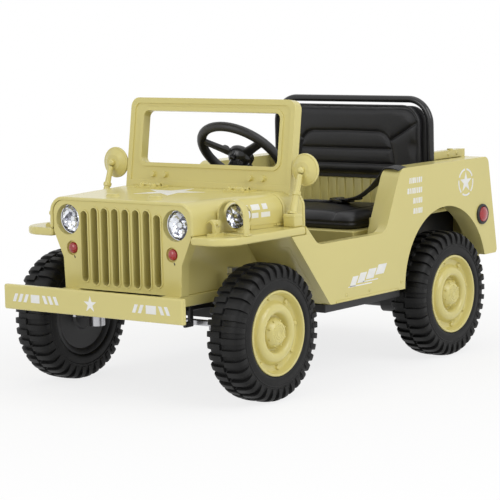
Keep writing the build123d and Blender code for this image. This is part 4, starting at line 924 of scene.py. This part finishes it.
# Padded back: panel outline, two channels and two diagonals, in (x, z) on its front
PAD_LOW, PAD_TOP, PAD_HALF, PAD_BEND = 416, 598.5, 218.5, 49
half_panel = [(143, 418), (142, 450), (139, 474), (134, 500), (127, 516), (116, 526), (100, 531)]
PANEL = [(-x, z) for x, z in half_panel] + [(0, 532.5)] + half_panel[::-1]
PAD_SEAMS = [PANEL] + [[(-x, z), (x, z)] for x, z in ((136, 489), (142, 452))]
PAD_SEAMS += [[(side * x, z) for x, z in ((131, 510), (172, 533), (216, 560))] for side in (-1, 1)]
PAD_RIM = arch(PAD_HALF - 6.5, PAD_TOP - 6.5, PAD_BEND - 6, PAD_LOW + 3)
PAD_FRONT, PAD_BACK = 373, 399
PAD_ROOM = (-221, 361.5, 414.2), (221, 403.8, 601.2)
pad_outline = arch(PAD_HALF, PAD_TOP, PAD_BEND, PAD_LOW)
pad = rounded_slab(pad_outline, lambda a, b, h: Vector((a, h, b)),
                   ((9, PAD_FRONT), (4, PAD_FRONT + 2.2), (1, PAD_FRONT + 6), (0, PAD_FRONT + 11), (0, PAD_BACK - 11),
                    (1, PAD_BACK - 6), (4, PAD_BACK - 2.2), (9, PAD_BACK)))
seat_back = pad.done("seat_back_pad", VINYL)
inflate(seat_back, 0.0042, 4, 0.0075)
points, normals = read_points(seat_back)
x, z = points[:, 0].copy(), points[:, 2].copy()
front, rear = ease(0.25, 0.8, -normals[:, 1]), ease(0.25, 0.8, normals[:, 1])
sewn = 4.6 * groove(PAD_SEAMS, x, z, 3.2) + 1.7 * groove(PAD_SEAMS, x, z, 11)
points[:, 1] += front * (sewn + 2.6 * groove([PAD_RIM], x, z, 3)) - rear * 2.4 * groove([PAD_RIM], x, z, 3)
write_points(seat_back, np.clip(points, *PAD_ROOM))
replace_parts(seat_back, "seat_back")


def surface_of(made):
    mesh = made.data
    return BVHTree.FromPolygons([v.co.copy() for v in mesh.vertices], [tuple(p.vertices) for p in mesh.polygons])


pad_tree = surface_of(seat_back)


def on_pad(x, z, lift):
    hit = pad_tree.ray_cast(Vector((x * 0.001, 0.2, z * 0.001)), Vector((0, 1, 0)))[0]
    return Vector((x, (hit.y * 1000 if hit else 371) - lift, z))


# Welt along the pad's rim, and stitches beside the seams
WELT_RUN = 169     # half of the straight run along the top
welt = Build()
rim_line = arch(PAD_HALF - 3.4, PAD_TOP - 3.4, PAD_BEND - 3, PAD_LOW + 2, 10)
welt_line = [on_pad(a, b, 0.6) for a, b in rim_line[:12]]
welt_line += [on_pad(WELT_RUN * (i / 12 - 1), rim_line[11][1], 0.6) for i in range(1, 24)]
welt_line += [on_pad(a, b, 0.6) for a, b in rim_line[12:]]
welt.tube(welt_line, 2.7, 10)
welt.done("seat_back_welt", VINYL, angle=60)

stitches = Build()
for line in PAD_SEAMS:
    for (x0, z0), (x1, z1) in zip(line, line[1:]):
        length = sqrt((x1 - x0) ** 2 + (z1 - z0) ** 2)
        count = max(1, int(length / 6.5))
        for i in range(count):
            ends = []
            for share in ((i + 0.2) / count, (i + 0.8) / count):
                x, z = x0 + (x1 - x0) * share, z0 + (z1 - z0) * share
                ends.append(on_pad(x - (z1 - z0) / length * 3.6, z + (x1 - x0) / length * 3.6, 0.15))
            stitches.tube(ends, 0.55, 5)
stitches.done("seat_back_stitches", THREAD, angle=60)


# Board behind the pad, inside the hoop
board = rounded_slab(arch(221, 594, 46, 415, 12), lambda a, b, h: Vector((a, h, b)),
                     ((1.5, 393), (0, 394.5), (0, 402.3), (1.5, 403.8)))
board.done("seat_back_board", BLACK)


# Seat cushion: a crowned bench, flat below
CUSHION_Y, CUSHION_HALF, CUSHION_BEND = (119, 384), 194, 30
half_y, mid_y = (CUSHION_Y[1] - CUSHION_Y[0]) / 2, (CUSHION_Y[0] + CUSHION_Y[1]) / 2
cushion_outline = []
for sx, sy, start in ((1, 1, 0), (-1, 1, 90), (-1, -1, 180), (1, -1, 270)):
    for i in range(9):
        turn = radians(start + 90 * i / 8)
        cushion_outline.append((sx * (CUSHION_HALF - CUSHION_BEND) + CUSHION_BEND * cos(turn),
                                mid_y + sy * (half_y - CUSHION_BEND) + CUSHION_BEND * sin(turn)))
cushion = rounded_slab(cushion_outline, lambda a, b, h: Vector((a, b, h)),
                       ((3, 318), (0, 322), (0, 333), (2, 341), (6, 346.5), (13, 350), (26, 352)))
seat_cushion = cushion.done("seat_cushion_pad", VINYL)
inflate(seat_cushion, 0.005, 4, 0.008)
CUSHION_SEAMS = [[(seam_x, CUSHION_Y[0] - 5), (seam_x, CUSHION_Y[1] + 5)] for seam_x in (-128, 128)]
CUSHION_ROOM = (-199, 114, 318.1), (199, 386.8, 370)
points, normals = read_points(seat_cushion)
x, y, z = (points[:, k].copy() for k in range(3))
sewn = 3.2 * groove(CUSHION_SEAMS, x, y, 3.4) + 2.2 * groove(CUSHION_SEAMS, x, y, 22)
points[:, 2] -= ease(0.1, 0.7, normals[:, 2]) * sewn
band = 2 * np.exp(-((z - 334) / 2.6) ** 2) * ease(0.2, 0.8, np.hypot(normals[:, 0], normals[:, 1]))
points[:, :2] -= band[:, None] * normals[:, :2]
write_points(seat_cushion, np.clip(points, *CUSHION_ROOM))
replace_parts(seat_cushion, "seat_cushion")
cushion_tree = surface_of(seat_cushion)


def cushion_top(x, y):
    hit = cushion_tree.ray_cast(Vector((x * 0.001, y * 0.001, 0.5)), Vector((0, 0, -1)))[0]
    return hit.z * 1000 if hit else 340


# Seat hoop, a smooth bent tube
HOOP_X, HOOP_Y, HOOP_FOOT, HOOP_TOP, HOOP_BEND = 230, 398, 345.5, 610, 60
hoop = Build()
hoop_line = [(a, HOOP_Y, b) for a, b in arch(HOOP_X, HOOP_TOP, HOOP_BEND, HOOP_FOOT, 14)]
hoop.tube(hoop_line, 8.5, 24)
for side in (1, -1):
    hoop.lathe(((8.6, 0), (13, 0), (13, 2.4), (11.6, 3.6), (8.6, 4)), (side * HOOP_X, HOOP_Y, HOOP_FOOT - 0.3),
               (0, 0, 1), 28)
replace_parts(hoop.done("seat_hoop_tube", GLOSS_BLACK, angle=50), "seat_hoop")


# Seat belt: webbing from the left jamb to the buckle, then across the cushion
BELT_W, BELT_T = 34, 1.8
# Section with thicker edges, in shares of width and thickness
STRAP = ((-0.5, -0.5), (-0.46, -0.5), (0.46, -0.5), (0.5, -0.5), (0.5, 0.5), (0.46, 0.5), (-0.46, 0.5), (-0.5, 0.5))


def ribbon(build, rows):
    """Flat strap through rows of (x, y, z, side x, side y, side z)."""
    line = spline(rows, 6)
    rings = []
    for i, row in enumerate(line):
        place, side = Vector(row[:3]), Vector(row[3:]).normalized()
        ahead = Vector(line[min(i + 1, len(line) - 1)][:3]) - Vector(line[max(i - 1, 0)][:3])
        side = (side - ahead * (side.dot(ahead) / ahead.length_squared)).normalized()
        lift = side.cross(ahead).normalized()
        ring = []
        for a, b in STRAP:
            edge = 1.35 if abs(a) > 0.45 else 1
            ring.append(place + side * (a * BELT_W) + lift * (b * BELT_T * edge))
        rings.append(ring)
    build.rows(rings)


BUCKLE = Vector((22, 309, 0))
BUCKLE.z = cushion_top(BUCKLE.x, BUCKLE.y) + 6
belt = Build()
SLOPE = [(296, 178, 461.5), (276, 178, 465.6), (255, 181, 464), (240, 188, 452), (190, 214, 416),
         (140, 241, 392)]
upper = [(*p, 0.1, 1, 0.1) for p in SLOPE]
for x, y in ((95, 267), (60, 286), (40, 298)):
    upper.append((x, y, max(cushion_top(x, y) + 3, BUCKLE.z + (x - 22) * 0.16), 0.5, 0.84, 0))
ribbon(belt, upper)
lap = [(4, 312, BUCKLE.z - 1, 0.2, 1, 0)]
for x, y in ((-30, 316), (-75, 315), (-120, 311), (-160, 308), (-182, 307)):
    lap.append((x, y, cushion_top(x, y) + 1.4, 0.05, 1, 0))
for x, z in ((-196, 343), (-201, 330)):
    lap.append((x, 306, z, 0.05, 1, 0))
ribbon(belt, lap)
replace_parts(belt.done("belt_webbing", WEBBING, angle=50), "seat_belt")
belt_turn = turned(-29, "Z")
buckle = Build()
buckle.block(BUCKLE, (48, 36, 11), 3.4, belt_turn, 3)
buckle.block(BUCKLE + belt_turn @ Vector((-6, 0, 3.4)), (18, 24, 7), 1.6, belt_turn)
buckle.block(BUCKLE + belt_turn @ Vector((34, 0, 1)), (24, 38, 5), 1.8, belt_turn)
buckle.block(BUCKLE + belt_turn @ Vector((76, 2, 9)), (16, 40, 6), 2, belt_turn @ turned(-12, "Y"))
buckle.done("belt_buckle", GLOSS_BLACK)


# Camera, light and floor

def aim_camera():
    eye = Vector((3.1060, -3.9988, 0.8775))
    target = Vector((0.1291, -0.1897, 0.3029))
    roll = radians(-1.32)
    ahead = (target - eye).normalized()
    right = ahead.cross(Vector((0, 0, 1))).normalized()
    up = right.cross(ahead)
    right, up = right * cos(roll) + up * sin(roll), up * cos(roll) - right * sin(roll)
    data = bpy.data.cameras.new("photo_camera")
    data.sensor_width = 36.0
    data.sensor_fit = "HORIZONTAL"
    data.lens = 156.4
    data.clip_end = 50.0
    made = add_object("photo_camera", data)
    turn = Matrix((right, up, -ahead)).transposed()
    made.matrix_world = Matrix.Translation(eye) @ turn.to_4x4()
    bpy.context.scene.camera = made


def area_light(name, place, aim, size, power):
    data = bpy.data.lights.new(name, "AREA")
    data.shape = "SQUARE"
    data.size = size
    data.energy = power
    made = add_object(name, data)
    made.location = place
    made.rotation_euler = (Vector(aim) - Vector(place)).to_track_quat("-Z", "Y").to_euler()


def math_node(tree, operation, first, second):
    node = add_node(tree, "Math")
    node.operation = operation
    for socket, source in zip(node.inputs, (first, second)):
        tree.links.new(source, socket)
    return node.outputs[0]


def white_for_camera(tree, plain, white, share=None):
    """Mix of a plain shader and white, which shows for the camera, also in gloss and glass."""
    path = add_node(tree, "LightPath")
    seen = path.outputs["Is Camera Ray"]
    for ray in ("Is Glossy Ray", "Is Transmission Ray"):
        seen = math_node(tree, "MAXIMUM", seen, path.outputs[ray])
    if share is not None:
        seen = math_node(tree, "MULTIPLY", seen, share)
    mix = add_node(tree, "MixShader", links={"Fac": seen})
    tree.links.new(plain, mix.inputs[1])
    tree.links.new(white, mix.inputs[2])
    return mix.outputs[0]


WHITE = (1.0, 1.0, 1.0, 1.0)


def light_scene():
    scene = bpy.context.scene
    scene.view_settings.view_transform = "Standard"
    world = bpy.data.worlds.new("studio")
    scene.world = world
    world.use_nodes = True
    tree = world.node_tree
    plain = tree.nodes["Background"]
    plain.inputs["Color"].default_value = WHITE
    plain.inputs["Strength"].default_value = 0.42
    shown = add_node(tree, "Background", {"Color": WHITE, "Strength": 1.0})
    mixed = white_for_camera(tree, plain.outputs[0], shown.outputs[0])
    tree.links.new(mixed, tree.nodes["World Output"].inputs["Surface"])
    area_light("key", (3.2, -0.4, 2.8), (0.0, 0.0, 0.3), 2.6, 66.0)
    area_light("front", (-0.6, -4.2, 1.9), (0.0, 0.0, 0.3), 2.4, 46.0)
    area_light("over", (0.0, 0.3, 4.0), (0.0, 0.0, 0.3), 3.0, 18.0)

    mesh = bpy.data.meshes.new("floor")
    mesh.from_pydata([(-9, -9, 0), (9, -9, 0), (9, 9, 0), (-9, 9, 0)], [], [(0, 1, 2, 3)])
    floor = add_object("floor", mesh)
    material = bpy.data.materials.new("pale_floor")
    material.use_nodes = True
    tree = material.node_tree
    bsdf = tree.nodes["Principled BSDF"]
    bsdf.inputs["Base Color"].default_value = (0.94, 0.94, 0.94, 1.0)
    bsdf.inputs["Roughness"].default_value = 0.9
    bsdf.inputs["Specular IOR Level"].default_value = 0.1
    glow = add_node(tree, "Emission", {"Color": WHITE, "Strength": 1.0})
    # The floor shows less of the shadow further out, and is white at the horizon.
    place = add_node(tree, "TexCoord").outputs["Object"]
    reach = add_node(tree, "VectorMath")
    reach.operation = "LENGTH"
    tree.links.new(place, reach.inputs[0])
    share = add_node(tree, "MapRange", {"From Min": 0.55, "From Max": 1.6, "To Min": 0.80, "To Max": 1.0},
                     {"Value": reach.outputs["Value"]})
    mixed = white_for_camera(tree, bsdf.outputs[0], glow.outputs[0], share.outputs["Result"])
    tree.links.new(mixed, tree.nodes["Material Output"].inputs["Surface"])
    mesh.materials.append(material)


aim_camera()
light_scene()
